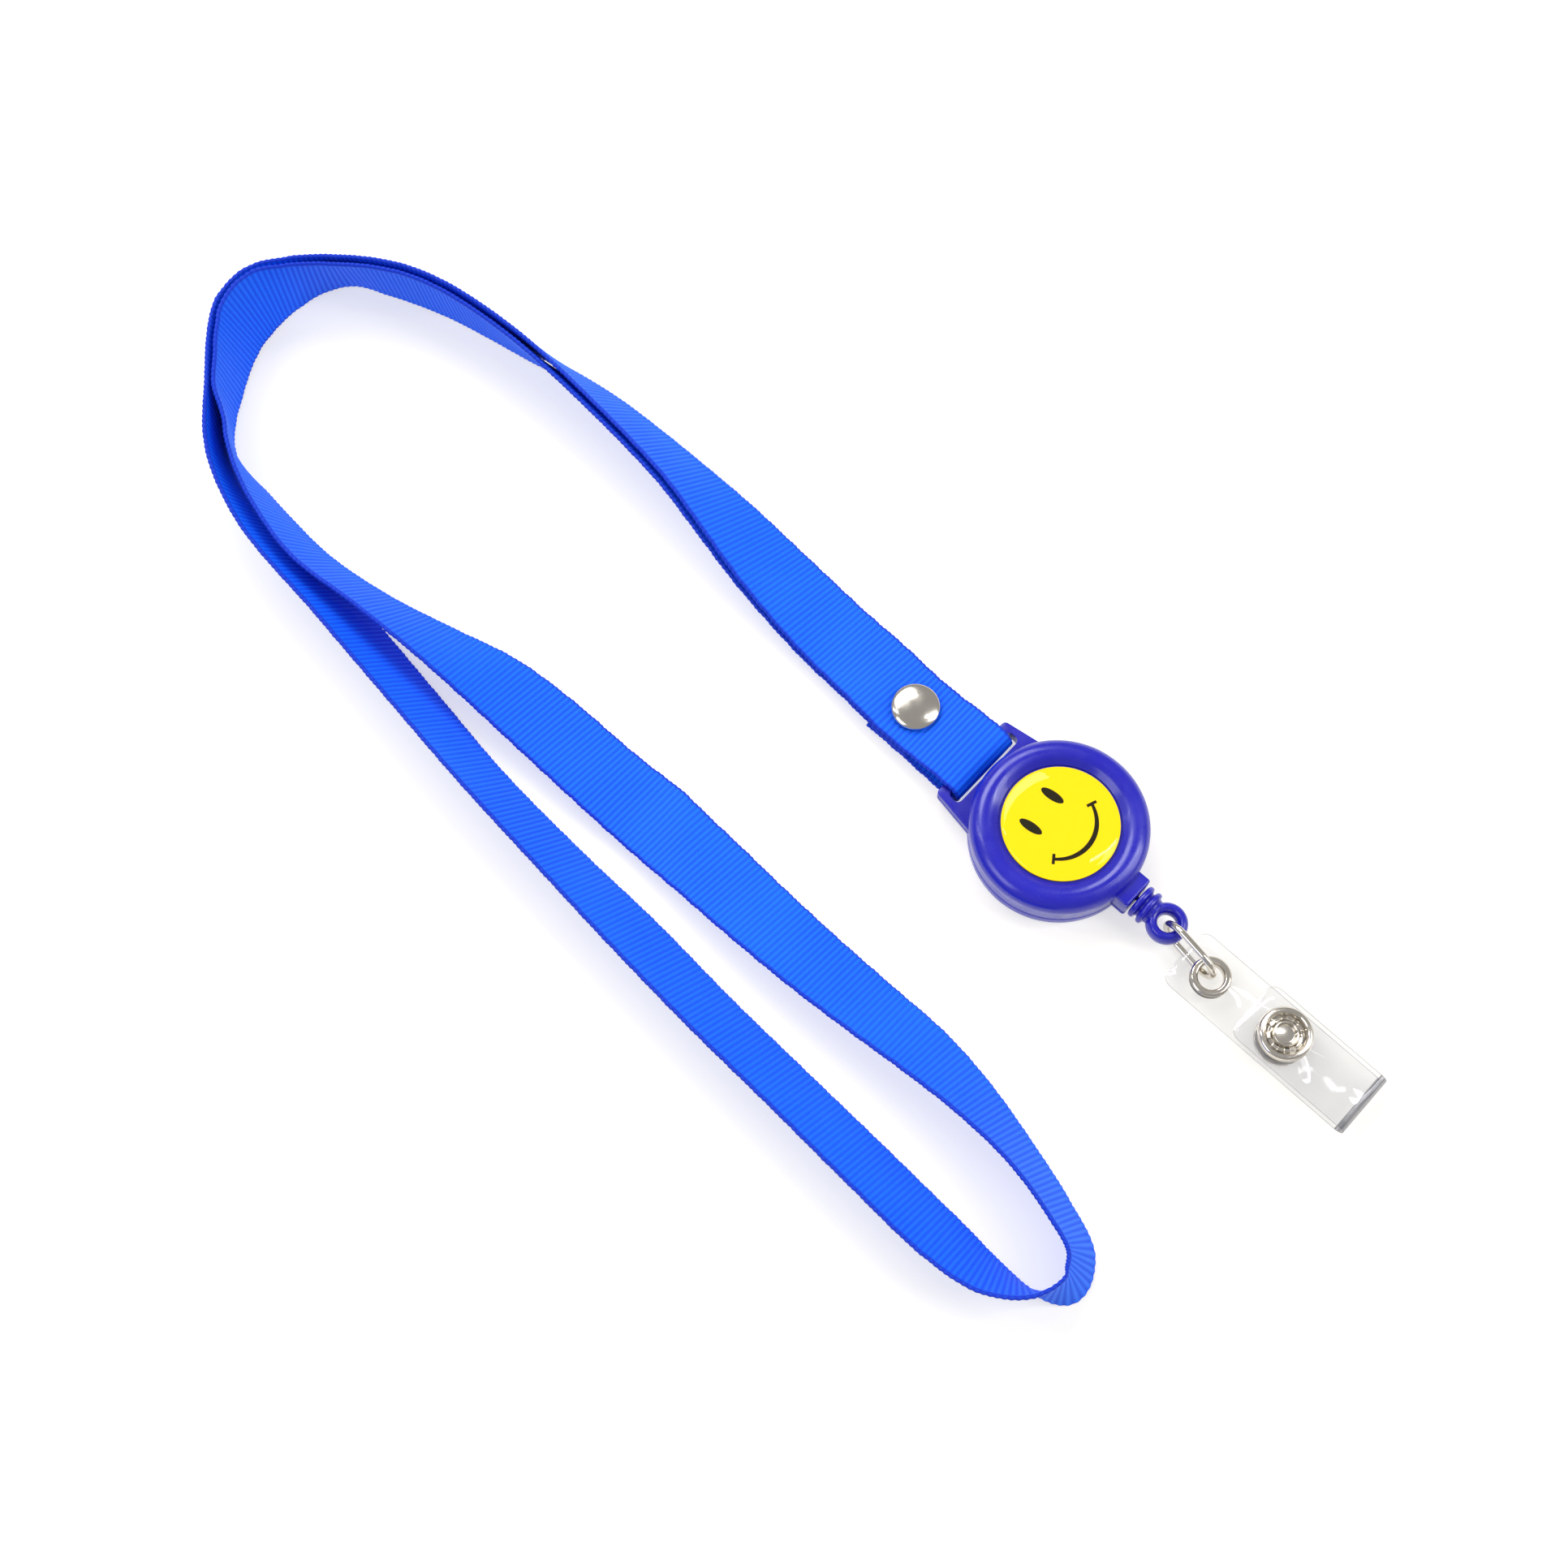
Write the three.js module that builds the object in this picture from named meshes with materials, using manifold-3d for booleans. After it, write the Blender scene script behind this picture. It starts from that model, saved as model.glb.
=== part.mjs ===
// A neck lanyard with a retractable badge reel and a clear snap strap, lying on a table.
// Millimetres, +Z up. +X runs along the lanyard towards the badge, and Z = 0 is the table.
// The reel's axis is the working origin; the whole group is centred over its own box at the end.

import * as THREE from "three";
import { mergeVertices } from "three/addons/utils/BufferGeometryUtils.js";
import Module from "manifold-3d";

const wasm = await Module();
wasm.setup();

// ---- Driving dimensions ----

const GAP = 0.3; // clearance between pieces that touch
const ROUND = 40; // facets round a large turned piece
const SMALL_ROUND = 22; // facets round a small turned piece

const STRAP = { width: 15, thick: 1.0, pitch: 1.5, step: 3.5 };
const CASE = { radius: 15.8, wall: 1.6, floor: 1.2, seam: 2.8, rimRadius: 16, height: 9.6, ceiling: 7.0 };
const LUG = { tip: -20.6, halfTip: 9.25, root: -11, halfRoot: 10.8, bottom: 1.6, top: 4.3 };
const SLOT = { from: -18.7, to: -16.2, half: 8.3 };
const BAR_X = (LUG.tip + SLOT.from) / 2;
const BAR_Z = (LUG.bottom + LUG.top) / 2;
const FOLD_RADIUS = 2.4;
const NECK = { end: 18.2, half: 3.2, bottom: 1.7, top: 7.5 };
const CORD = { radius: 0.4, height: 4.6, hole: 0.8 };
const STICKER = { radius: 10.5, recess: 10.9, seat: 8.2, thick: 0.2, crown: 10.0 };
const SPOOL = { flange: 13.3, hub: 8.4, bore: 2.0, bottom: 2.2, top: 5.9, web: 5.3 };
const POST = { radius: 1.7, bore: 1.15, top: 6.2, foot: 3.2, footTop: 1.8 };
const SCREW = { head: 1.9, recess: 2.2, recessDepth: 1.1, shank: 0.85 };
const SPRING = { inner: 2.3, outer: 7.1, turns: 6, strip: 0.25, bottom: 2.3, top: 5.0 };
const BEAD = { start: 18.6, rib: 3.3, groove: 2.4, eyeX: 25.0, eyeRadius: 3.7, eyeHole: 1.8, eyeHalf: 1.9 };
const LINK = { wire: 0.65, end: 3.6, height: 4.4, near: 28.8, far: 33.2, swing: -8 };
const EYELET = { x: 36.8, hole: 2.3, flange: 3.65, cut: 2.9 };
const LEAF = { half: 6, thick: 0.5, low: 2.4, high: 4.9, end: 30.5, flap: 45.2, bend: 69.0, corner: 2.0 };
const SNAP = { x: 52.6, rim: 4.8, rimInner: 3.4, stem: 2.3, hole: 2.6, postHole: 1.2 };
const RIVET = { x: -33.9, cap: 4.45, washer: 4.0, hole: 1.5, shank: 1.2 };

// ---- The strap's route ----

// Both layers together, from the rivet to the far corner: the pair's middle line on the table,
// and its lean in degrees: 0 lies flat, 90 stands on its edge, and more leans outwards.
const SHARED_ROUTE = [
  [-29.4, 0, 0],
  [-36, 0, 0],
  [-46, 0.7, 3],
  [-60, 1.4, 10],
  [-73, 2.3, 21],
  [-84, 3.4, 33],
  [-95, 4.3, 45],
  [-106, 4.7, 52],
  [-117, 4.7, 58],
  [-127, 4.1, 66],
  [-136, 3.0, 75],
  [-146, 1.6, 80],
  [-154, 0.0, 82],
  [-161, -2.3, 82],
  [-167, -5.2, 79],
  [-172.6, -8.6, 74],
  [-176.4, -13.2, 80],
  [-178.9, -18.4, 92],
  [-180.4, -24.2, 107],
  [-179.6, -30.2, 109],
  [-176.7, -35.4, 103],
  [-173, -40.2, 97],
  [-169.2, -44.7, 92],
];

// The neck loop, from the far corner round the neck end and back to the corner, as one layer.
const NECK_ROUTE = [
  [-161.5, -52.0, 97],
  [-146, -56.4, 116],
  [-122, -58.2, 125],
  [-101, -60.6, 125],
  [-81, -62.9, 124],
  [-60, -64.2, 127],
  [-41, -65, 132],
  [-22, -66, 132],
  [-3, -66.5, 132],
  [15, -67, 133],
  [32, -67.4, 132],
  [42, -66.8, 122],
  [49.2, -64, 100],
  [53.2, -59, 72],
  [51, -53.8, 66],
  [43, -50.5, 64],
  [32.4, -47.9, 60],
  [20, -46.2, 49],
  [9, -45.8, 39],
  [-3, -46.4, 33],
  [-15.5, -46.9, 27],
  [-29, -47, 21],
  [-42, -46.8, 14],
  [-54.5, -46.8, 9],
  [-67, -47.2, 14],
  [-81.6, -47.4, 18],
  [-93, -48.1, 27],
  [-105.7, -50.2, 45],
  [-119.6, -52.6, 58],
  [-134.4, -54.3, 62],
  [-146.4, -53.0, 70],
  [-154.2, -51.3, 79],
  [-159.9, -49.9, 92],
  [-164.4, -47.3, 95],
];

const STACK_LIFT = 2.0; // the pair's rise at the rivet, over the returned end and the washer
const LIFT_FROM = -38;
const LIFT_TO = -56;

// ---- Solids ----

// A three.js geometry as a manifold solid that faces outwards.
function solid(geometry) {
  const bare = geometry.index ? geometry.toNonIndexed() : geometry.clone();
  bare.deleteAttribute("normal");
  bare.deleteAttribute("uv");
  const merged = mergeVertices(bare, 1e-3);
  const vertProperties = new Float32Array(merged.attributes.position.array);
  const triVerts = new Uint32Array(merged.index.array);
  const made = new wasm.Manifold(new wasm.Mesh({ numProp: 3, vertProperties, triVerts }));
  if (made.volume() >= 0) return made;
  return new wasm.Manifold(new wasm.Mesh({ numProp: 3, vertProperties, triVerts: triVerts.reverse() }));
}

function union(...solids) {
  return solids.reduce((whole, next) => whole.add(next));
}

function geometryOf(made) {
  const { vertProperties, triVerts } = made.getMesh();
  const geometry = new THREE.BufferGeometry();
  geometry.setAttribute("position", new THREE.BufferAttribute(vertProperties, 3));
  geometry.setIndex(new THREE.BufferAttribute(triVerts, 1));
  geometry.computeVertexNormals();
  return geometry;
}

// A profile of [radius, height] pairs turned about Z through (x, 0).
function turned(profile, x = 0, facets = ROUND) {
  const points = profile.map(([r, h]) => new THREE.Vector2(r, h));
  const geometry = new THREE.LatheGeometry(points, facets);
  geometry.rotateX(Math.PI / 2);
  geometry.translate(x, 0, 0);
  return solid(geometry);
}

function cylinder(radius, bottom, top, x = 0, facets = ROUND) {
  return turned([[0, bottom], [radius, bottom], [radius, top], [0, top]], x, facets);
}

function ring(inner, outer, bottom, top, x = 0, facets = ROUND) {
  return turned([[inner, bottom], [outer, bottom], [outer, top], [inner, top], [inner, bottom]], x, facets);
}

function box(low, high) {
  const geometry = new THREE.BoxGeometry(high[0] - low[0], high[1] - low[1], high[2] - low[2]);
  geometry.translate((low[0] + high[0]) / 2, (low[1] + high[1]) / 2, (low[2] + high[2]) / 2);
  return solid(geometry);
}

// A plan outline carried straight up from bottom to top.
function plate(shape, bottom, top) {
  const geometry = new THREE.ExtrudeGeometry(shape, {
    depth: top - bottom,
    bevelEnabled: false,
    curveSegments: 8,
  });
  geometry.translate(0, 0, bottom);
  return solid(geometry);
}

function roundedPlan(x0, x1, half, cornerStart, cornerEnd) {
  const shape = new THREE.Shape();
  shape.moveTo(x0 + cornerStart, -half);
  shape.lineTo(x1 - cornerEnd, -half);
  shape.quadraticCurveTo(x1, -half, x1, -half + cornerEnd);
  shape.lineTo(x1, half - cornerEnd);
  shape.quadraticCurveTo(x1, half, x1 - cornerEnd, half);
  shape.lineTo(x0 + cornerStart, half);
  shape.quadraticCurveTo(x0, half, x0, half - cornerStart);
  shape.lineTo(x0, -half + cornerStart);
  shape.quadraticCurveTo(x0, -half, x0 + cornerStart, -half);
  return shape;
}

// A round rod along a list of points.
function rod(points, radius, facets, steps) {
  const section = new THREE.Shape();
  section.absarc(0, 0, radius, 0, 2 * Math.PI);
  const path = new THREE.CatmullRomCurve3(points.map((p) => new THREE.Vector3(...p)));
  const geometry = new THREE.ExtrudeGeometry(section, {
    steps,
    extrudePath: path,
    curveSegments: facets / 2,
  });
  return solid(geometry);
}

// ---- Materials and nodes ----

const colours = {
  webbing: [0x0f55e8, 0.75, 0.0],
  casePlastic: [0x2a1fb0, 0.35, 0.0],
  whitePlastic: [0xe8e8ea, 0.5, 0.0],
  springSteel: [0x8e9096, 0.35, 1.0],
  nickel: [0xc9c6c0, 0.2, 1.0],
  cord: [0x2a1fb0, 0.8, 0.0],
  print: [0xffe500, 0.4, 0.0],
  clear: [0xf4f6f8, 0.1, 0.0],
};

function piece(name, made, finish) {
  const [color, roughness, metalness] = colours[finish];
  const material = new THREE.MeshStandardMaterial({ color, roughness, metalness });
  material.transparent = finish === "clear";
  material.opacity = finish === "clear" ? 0.35 : 1;
  const mesh = new THREE.Mesh(geometryOf(made), material);
  mesh.name = name;
  return mesh;
}

// ---- Reel case ----

function lugPlan() {
  const shape = new THREE.Shape();
  const corner = 0.6;
  shape.moveTo(LUG.root, -LUG.halfRoot);
  shape.lineTo(LUG.tip + corner, -LUG.halfTip);
  shape.lineTo(LUG.tip, -LUG.halfTip + corner);
  shape.lineTo(LUG.tip, LUG.halfTip - corner);
  shape.lineTo(LUG.tip + corner, LUG.halfTip);
  shape.lineTo(LUG.root, LUG.halfRoot);
  return shape;
}

function slotCut() {
  const radius = (SLOT.to - SLOT.from) / 2;
  const plan = roundedPlan(SLOT.from, SLOT.to, SLOT.half, radius, radius);
  return plate(plan, -1, LUG.top + 1);
}

function cordPassage() {
  const low = CORD.height - CORD.hole;
  const high = CORD.height + CORD.hole;
  return box([CASE.radius - 4, -1.8, low], [NECK.end + 1, 1.8, high]);
}

function backCover() {
  const seam = CASE.seam;
  const shell = turned([[0, 0], [CASE.radius - 0.8, 0], [CASE.radius, 0.8], [CASE.radius, seam], [0, seam]]);
  const neck = box([10, -NECK.half, NECK.bottom], [NECK.end, NECK.half, seam]);
  const outside = union(shell, plate(lugPlan(), LUG.bottom, seam), neck);
  const cavity = cylinder(CASE.radius - CASE.wall, CASE.floor, seam + 1);
  const foot = cylinder(POST.foot, CASE.floor - 0.1, POST.footTop, 0, SMALL_ROUND);
  const post = cylinder(POST.radius, CASE.floor, POST.top, 0, SMALL_ROUND);
  const bore = cylinder(POST.bore, -1, POST.top + 1, 0, SMALL_ROUND);
  const recess = cylinder(SCREW.recess, -1, SCREW.recessDepth, 0, SMALL_ROUND);
  return union(outside.subtract(cavity), foot, post).subtract(bore).subtract(recess).subtract(slotCut());
}

// The front cover's outline: a straight side, a rolled rim and the sunk seat of the sticker.
function frontProfile() {
  const seam = CASE.seam + GAP;
  const profile = [[0, seam], [CASE.radius, seam], [CASE.radius, 5.6]];
  const centre = { r: 13.4, h: 7.0, across: CASE.rimRadius - 13.4, up: CASE.height - 7.0 };
  const arcSteps = 8;
  for (let i = 0; i <= arcSteps; i++) {
    const angle = (i / arcSteps) * (Math.PI * 0.72);
    profile.push([centre.r + centre.across * Math.cos(angle), centre.h + centre.up * Math.sin(angle)]);
  }
  profile.push([STICKER.recess, STICKER.seat + 0.4], [STICKER.recess, STICKER.seat], [0, STICKER.seat]);
  return profile;
}

function frontCover() {
  const seam = CASE.seam + GAP;
  const neck = box([10, -NECK.half, seam], [NECK.end, NECK.half, NECK.top]);
  const outside = union(turned(frontProfile()), plate(lugPlan(), seam, LUG.top), neck);
  const cavity = cylinder(CASE.radius - CASE.wall, seam - 1, CASE.ceiling);
  const boss = cylinder(2.4, POST.top + GAP, CASE.ceiling + 0.1, 0, SMALL_ROUND);
  const bore = cylinder(POST.bore, POST.top, CASE.ceiling + 0.7, 0, SMALL_ROUND);
  return union(outside.subtract(cavity), boss).subtract(bore).subtract(cordPassage()).subtract(slotCut());
}

function axleScrew() {
  const headTop = SCREW.recessDepth - GAP;
  const profile = [[0, 0.15], [SCREW.head, 0.15], [SCREW.head, headTop], [SCREW.shank, headTop],
    [SCREW.shank, CASE.ceiling + 0.4], [0, CASE.ceiling + 0.4]];
  return turned(profile, 0, SMALL_ROUND);
}

// ---- Reel mechanism ----

function spool() {
  const rim = SPOOL.hub - 0.8;
  const low = CORD.height - 0.7;
  const high = CORD.height + 0.7;
  return turned([
    [SPOOL.bore, SPOOL.web], [rim, SPOOL.web], [rim, SPOOL.bottom], [SPOOL.hub, SPOOL.bottom],
    [SPOOL.hub, low - 0.6], [SPOOL.flange, low - 0.6], [SPOOL.flange, low], [SPOOL.hub, low],
    [SPOOL.hub, high], [SPOOL.flange, high], [SPOOL.flange, SPOOL.top], [SPOOL.bore, SPOOL.top],
    [SPOOL.bore, SPOOL.web],
  ]);
}

function springCover() {
  return ring(POST.foot + GAP, SPOOL.hub, CASE.floor + GAP, SPOOL.bottom - GAP);
}

function cordWinding() {
  const low = CORD.height - 0.4;
  const high = CORD.height + 0.4;
  const inner = SPOOL.hub + GAP;
  const outer = SPOOL.flange - 0.9;
  return turned([[inner, low], [outer - 0.3, low], [outer, CORD.height], [outer - 0.3, high],
    [inner, high], [inner, low]]);
}

// A flat spiral strip, from the post out to the spool's wall.
function powerSpring() {
  const steps = SPRING.turns * 18;
  const edge = (offset) => (_, i) => {
    const angle = (i / steps) * SPRING.turns * 2 * Math.PI;
    const radius = SPRING.inner + ((SPRING.outer - SPRING.inner) * i) / steps + offset;
    return new THREE.Vector2(radius * Math.cos(angle), radius * Math.sin(angle));
  };
  const inside = Array.from({ length: steps + 1 }, edge(0));
  const outside = Array.from({ length: steps + 1 }, edge(SPRING.strip));
  return plate(new THREE.Shape([...inside, ...outside.reverse()]), SPRING.bottom, SPRING.top);
}

function cordLead() {
  const z = CORD.height;
  const route = [[12.7, 3.4, z], [13.1, 2.2, z], [13.9, 1.1, z], [15.1, 0.4, z], [16.5, 0.05, z], [18, 0, z], [19.6, 0, z]];
  return rod(route, CORD.radius, 8, 20);
}

// ---- Sticker ----

function stickerPrint() {
  const bottom = STICKER.seat + GAP;
  return cylinder(STICKER.radius, bottom, bottom + STICKER.thick);
}

function resinDome() {
  const bottom = STICKER.seat + 2 * GAP + STICKER.thick;
  const edge = bottom + 0.35;
  const profile = [[0, bottom], [STICKER.radius, bottom], [STICKER.radius, edge]];
  const rings = 6;
  for (let i = 1; i <= rings; i++) {
    const angle = ((i / rings) * Math.PI) / 2;
    profile.push([STICKER.radius * Math.cos(angle), edge + (STICKER.crown - edge) * Math.sin(angle)]);
  }
  profile[profile.length - 1][0] = 0;
  return turned(profile);
}

// ---- End bead and link ----

// Ribs turned about the cord, then a flattened eye whose hole stands upright.
function endBead() {
  const { start, rib, groove, eyeX, eyeRadius, eyeHole, eyeHalf } = BEAD;
  const ribPitch = 1.7;
  const ribWidth = 1.2;
  const profile = [[0, 0]];
  for (let i = 0; i < 2; i++) {
    const at = i * ribPitch;
    profile.push([rib - 0.35, at], [rib, at + 0.35], [rib, at + ribWidth - 0.35], [rib - 0.35, at + ribWidth]);
    profile.push([groove, at + ribWidth + 0.1], [groove, at + ribPitch - 0.05]);
  }
  profile.push([groove, eyeX - start - 2.6], [0, eyeX - start - 2.6]);
  const points = profile.map(([r, along]) => new THREE.Vector2(r, along));
  const ribs = new THREE.LatheGeometry(points, SMALL_ROUND);
  ribs.rotateZ(-Math.PI / 2);
  ribs.translate(start, 0, CORD.height);
  const middle = (eyeRadius + eyeHole) / 2;
  const half = (eyeRadius - eyeHole) / 2;
  const section = [];
  const sides = 12;
  for (let i = 0; i <= sides; i++) {
    const angle = (i / sides) * 2 * Math.PI;
    section.push([middle + half * Math.cos(angle), CORD.height + eyeHalf * Math.sin(angle)]);
  }
  const eye = turned(section, eyeX, SMALL_ROUND);
  const knotPocket = new THREE.SphereGeometry(1.45, 10, 7);
  knotPocket.translate(start + 2.2, 0, CORD.height);
  const hole = new THREE.CylinderGeometry(CORD.hole, CORD.hole, 4, 9);
  hole.rotateZ(Math.PI / 2);
  hole.translate(start, 0, CORD.height);
  return union(solid(ribs), eye).subtract(solid(knotPocket)).subtract(solid(hole));
}

function cordKnot() {
  const knot = new THREE.SphereGeometry(1.0, 10, 7);
  knot.translate(BEAD.start + 2.3, 0, CORD.height);
  return solid(knot);
}

// A straight-sided oval of wire that stands upright, through the bead's eye and the eyelet.
function wireLink() {
  const points = [];
  const arcSteps = 6;
  for (const [centre, from] of [[LINK.far, -90], [LINK.near, 90]]) {
    for (let i = 0; i <= arcSteps; i++) {
      const angle = THREE.MathUtils.degToRad(from + (i / arcSteps) * 180);
      points.push([centre + LINK.end * Math.cos(angle), 0, LINK.height + LINK.end * Math.sin(angle)]);
    }
  }
  const path = new THREE.CatmullRomCurve3(points.map((p) => new THREE.Vector3(...p)), true, "centripetal");
  const loop = [];
  const steps = 36;
  const sides = 8;
  const across = new THREE.Vector3(0, 1, 0);
  for (let i = 0; i < steps; i++) {
    const at = path.getPointAt(i / steps);
    const outwards = new THREE.Vector3().crossVectors(path.getTangentAt(i / steps), across);
    loop.push(Array.from({ length: sides }, (_, k) => {
      const angle = (k / sides) * 2 * Math.PI;
      return at.clone()
        .addScaledVector(outwards, LINK.wire * Math.cos(angle))
        .addScaledVector(across, LINK.wire * Math.sin(angle));
    }));
  }
  return solid(skin(loop, true));
}

// ---- Clear strap, eyelet and snap ----

function lowerLeaf() {
  const leaf = plate(
    roundedPlan(LEAF.end, LEAF.bend - GAP, LEAF.half, LEAF.corner, 0.05), LEAF.low, LEAF.low + LEAF.thick);
  const eyeletCut = cylinder(EYELET.cut, 0, 5, EYELET.x, SMALL_ROUND);
  const postCut = cylinder(SNAP.postHole, 0, 5, SNAP.x, SMALL_ROUND);
  return leaf.subtract(eyeletCut).subtract(postCut);
}

function upperLeaf() {
  const leaf = plate(
    roundedPlan(LEAF.flap, LEAF.bend - GAP, LEAF.half, LEAF.corner, 0.05), LEAF.high, LEAF.high + LEAF.thick);
  return leaf.subtract(cylinder(SNAP.hole, 4, 7, SNAP.x, SMALL_ROUND));
}

function strapBend() {
  const middle = (LEAF.low + LEAF.high + LEAF.thick) / 2;
  const outer = middle - LEAF.low;
  const outline = new THREE.Shape();
  outline.moveTo(LEAF.bend, middle - outer);
  outline.absarc(LEAF.bend, middle, outer, -Math.PI / 2, Math.PI / 2, false);
  outline.lineTo(LEAF.bend, middle + outer - LEAF.thick);
  outline.absarc(LEAF.bend, middle, outer - LEAF.thick, Math.PI / 2, -Math.PI / 2, true);
  return acrossY(outline, LEAF.half, 12);
}

// An outline in X and Z carried across Y from -half to half.
function acrossY(outline, half, curveSegments) {
  const geometry = new THREE.ExtrudeGeometry(outline, { depth: 2 * half, bevelEnabled: false, curveSegments });
  geometry.rotateX(Math.PI / 2);
  geometry.translate(0, half, 0);
  return solid(geometry);
}

// One flanged tube whose flanges hold the leaf between them.
function eyelet() {
  const below = LEAF.low - GAP;
  const above = LEAF.low + LEAF.thick + GAP;
  const { hole, flange, cut } = EYELET;
  return turned([
    [hole, below - 0.15], [hole + 0.2, below - 0.35], [flange - 0.2, below - 0.35], [flange, below - 0.15],
    [flange, below], [cut - GAP, below], [cut - GAP, above], [flange, above], [flange, above + 0.2],
    [flange - 0.3, above + 0.5], [hole + 0.3, above + 0.5], [hole, above + 0.2], [hole, below - 0.15],
  ], EYELET.x, 32);
}

function snapRing() {
  const base = LEAF.high + LEAF.thick + GAP;
  const { rim, rimInner } = SNAP;
  return turned([
    [rimInner, base], [rim, base], [rim + 0.05, base + 0.7], [rim - 0.25, base + 1.3], [rim - 0.7, base + 1.5],
    [rim - 1.15, base + 1.25], [rimInner, base + 0.7], [rimInner, base],
  ], SNAP.x, 36);
}

function snapCup() {
  const floor = LEAF.high + LEAF.thick + GAP;
  const flange = LEAF.high - GAP;
  return turned([
    [1.5, flange - 0.7], [4.0, flange - 0.7], [4.0, flange], [SNAP.stem, flange], [SNAP.stem, floor],
    [3.1, floor], [3.1, floor + 0.8], [2.7, floor + 0.8], [2.7, floor + 0.3], [2.4, floor + 0.4],
    [2.3, floor + 1.2], [2.0, floor + 1.5], [1.7, floor + 1.3], [1.5, floor + 0.5], [0, floor + 0.4],
    [0, floor - 0.1], [1.5, floor - 0.1],
    [1.5, flange - 0.7],
  ], SNAP.x, SMALL_ROUND);
}

function snapStud() {
  const base = LEAF.low + LEAF.thick + GAP;
  return turned([
    [0, base], [2.6, base], [2.6, base + 0.4], [0.9, base + 0.4], [1.2, base + 1.0], [1.2, base + 1.6],
    [0.8, base + 2.0], [0, base + 2.1],
  ], SNAP.x, SMALL_ROUND);
}

function snapBase() {
  const top = LEAF.low - GAP;
  return turned([
    [0, 0], [3.4, 0], [4.6, 1.2], [4.6, top - 0.2], [0.9, top], [0.9, top + LEAF.thick + GAP],
    [0, top + LEAF.thick + GAP],
  ], SNAP.x, SMALL_ROUND);
}

// ---- Webbing ----

// The strap as one list of stations: out along the shared stretch as the front layer, round the
// neck loop, and back along the shared stretch as the back layer. side is 1, 0 or -1.
function strapStations() {
  const front = SHARED_ROUTE.map(([x, y, lean]) => ({ x, y, lean, side: 1 }));
  const loop = NECK_ROUTE.map(([x, y, lean]) => ({ x, y, lean, side: 0 }));
  const back = SHARED_ROUTE.map(([x, y, lean]) => ({ x, y, lean: 180 - lean, side: -1 })).reverse();
  return [...front, ...loop, ...back];
}

// A centripetal curve through the stations' plan points, with lean and side carried along it.
class StrapCurve {
  constructor(stations) {
    this.stations = stations;
    this.plan = new THREE.CatmullRomCurve3(
      stations.map(({ x, y }) => new THREE.Vector3(x, y, 0)), false, "centripetal");
    this.last = stations.length - 1;
  }

  value(key, t) {
    const at = Math.min(t * this.last, this.last - 1e-9);
    const i = Math.floor(at);
    const pick = (k) => this.stations[Math.max(0, Math.min(this.last, k))][key];
    const [a, b, c, d] = [pick(i - 1), pick(i), pick(i + 1), pick(i + 2)];
    const f = at - i;
    return 0.5 * (2 * b + (c - a) * f + (2 * a - 5 * b + 4 * c - d) * f * f + (3 * b - a - 3 * c + d) * f ** 3);
  }

  // The strap's middle, and its width and face directions, at t from 0 to 1.
  frame(t) {
    const point = this.plan.getPoint(t);
    const along = this.plan.getTangent(t).setZ(0).normalize();
    const left = new THREE.Vector3(-along.y, along.x, 0);
    const lean = THREE.MathUtils.degToRad(this.value("lean", t));
    const side = THREE.MathUtils.clamp(this.value("side", t), -1, 1);
    const up = new THREE.Vector3(0, 0, 1);
    const width = left.clone().multiplyScalar(Math.cos(lean)).addScaledVector(up, Math.sin(lean));
    const face = up.clone().multiplyScalar(Math.cos(lean)).addScaledVector(left, -Math.sin(lean));
    const layers = STRAP.thick / 2 + 0.05 + (STRAP.pitch / 2) * Math.abs(side);
    const height = (STRAP.width / 2) * Math.sin(lean) + layers * Math.abs(Math.cos(lean));
    point.z = height + STACK_LIFT * lift(point.x) * Math.abs(side);
    point.addScaledVector(face, (STRAP.pitch / 2) * Math.abs(side));
    return { point, width, face };
  }
}

function lift(x) {
  const share = THREE.MathUtils.clamp((x - LIFT_TO) / (LIFT_FROM - LIFT_TO), 0, 1);
  return share * share * (3 - 2 * share);
}

// A closed skin over rings of points; a looped one joins its last ring to its first.
function skin(rings, looped = false) {
  const sides = rings[0].length;
  const index = [];
  const spans = looped ? rings.length : rings.length - 1;
  for (let i = 0; i < spans; i++) {
    const here = i * sides;
    const there = ((i + 1) % rings.length) * sides;
    for (let k = 0; k < sides; k++) {
      const next = (k + 1) % sides;
      index.push(here + k, there + k, there + next, here + k, there + next, here + next);
    }
  }
  const lastRing = (rings.length - 1) * sides;
  for (let k = 1; !looped && k < sides - 1; k++) {
    index.push(0, k, k + 1);
    index.push(lastRing, lastRing + k + 1, lastRing + k);
  }
  const geometry = new THREE.BufferGeometry().setFromPoints(rings.flat());
  geometry.setIndex(index);
  return geometry;
}

function strapStretch(curve, from, to) {
  const length = (to - from) * STRAP_LENGTH;
  const steps = Math.max(2, Math.round(length / STRAP.step));
  const rings = [];
  for (let i = 0; i <= steps; i++) {
    const t = curve.plan.getUtoTmapping(from + ((to - from) * i) / steps);
    const { point, width, face } = curve.frame(t);
    const corners = [[-1, -1], [1, -1], [1, 1], [-1, 1]];
    rings.push(corners.map(([w, f]) =>
      point.clone()
        .addScaledVector(width, (w * STRAP.width) / 2)
        .addScaledVector(face, (f * STRAP.thick) / 2)));
  }
  return solid(skin(rings));
}

// The share of the strap's length at the plan point nearest to a station.
function shareAtStation(curve, number) {
  const t = number / curve.last;
  const lengths = curve.plan.getLengths();
  const at = t * (lengths.length - 1);
  const low = Math.floor(at);
  const high = Math.min(low + 1, lengths.length - 1);
  return (lengths[low] + (lengths[high] - lengths[low]) * (at - low)) / lengths[lengths.length - 1];
}

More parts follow.
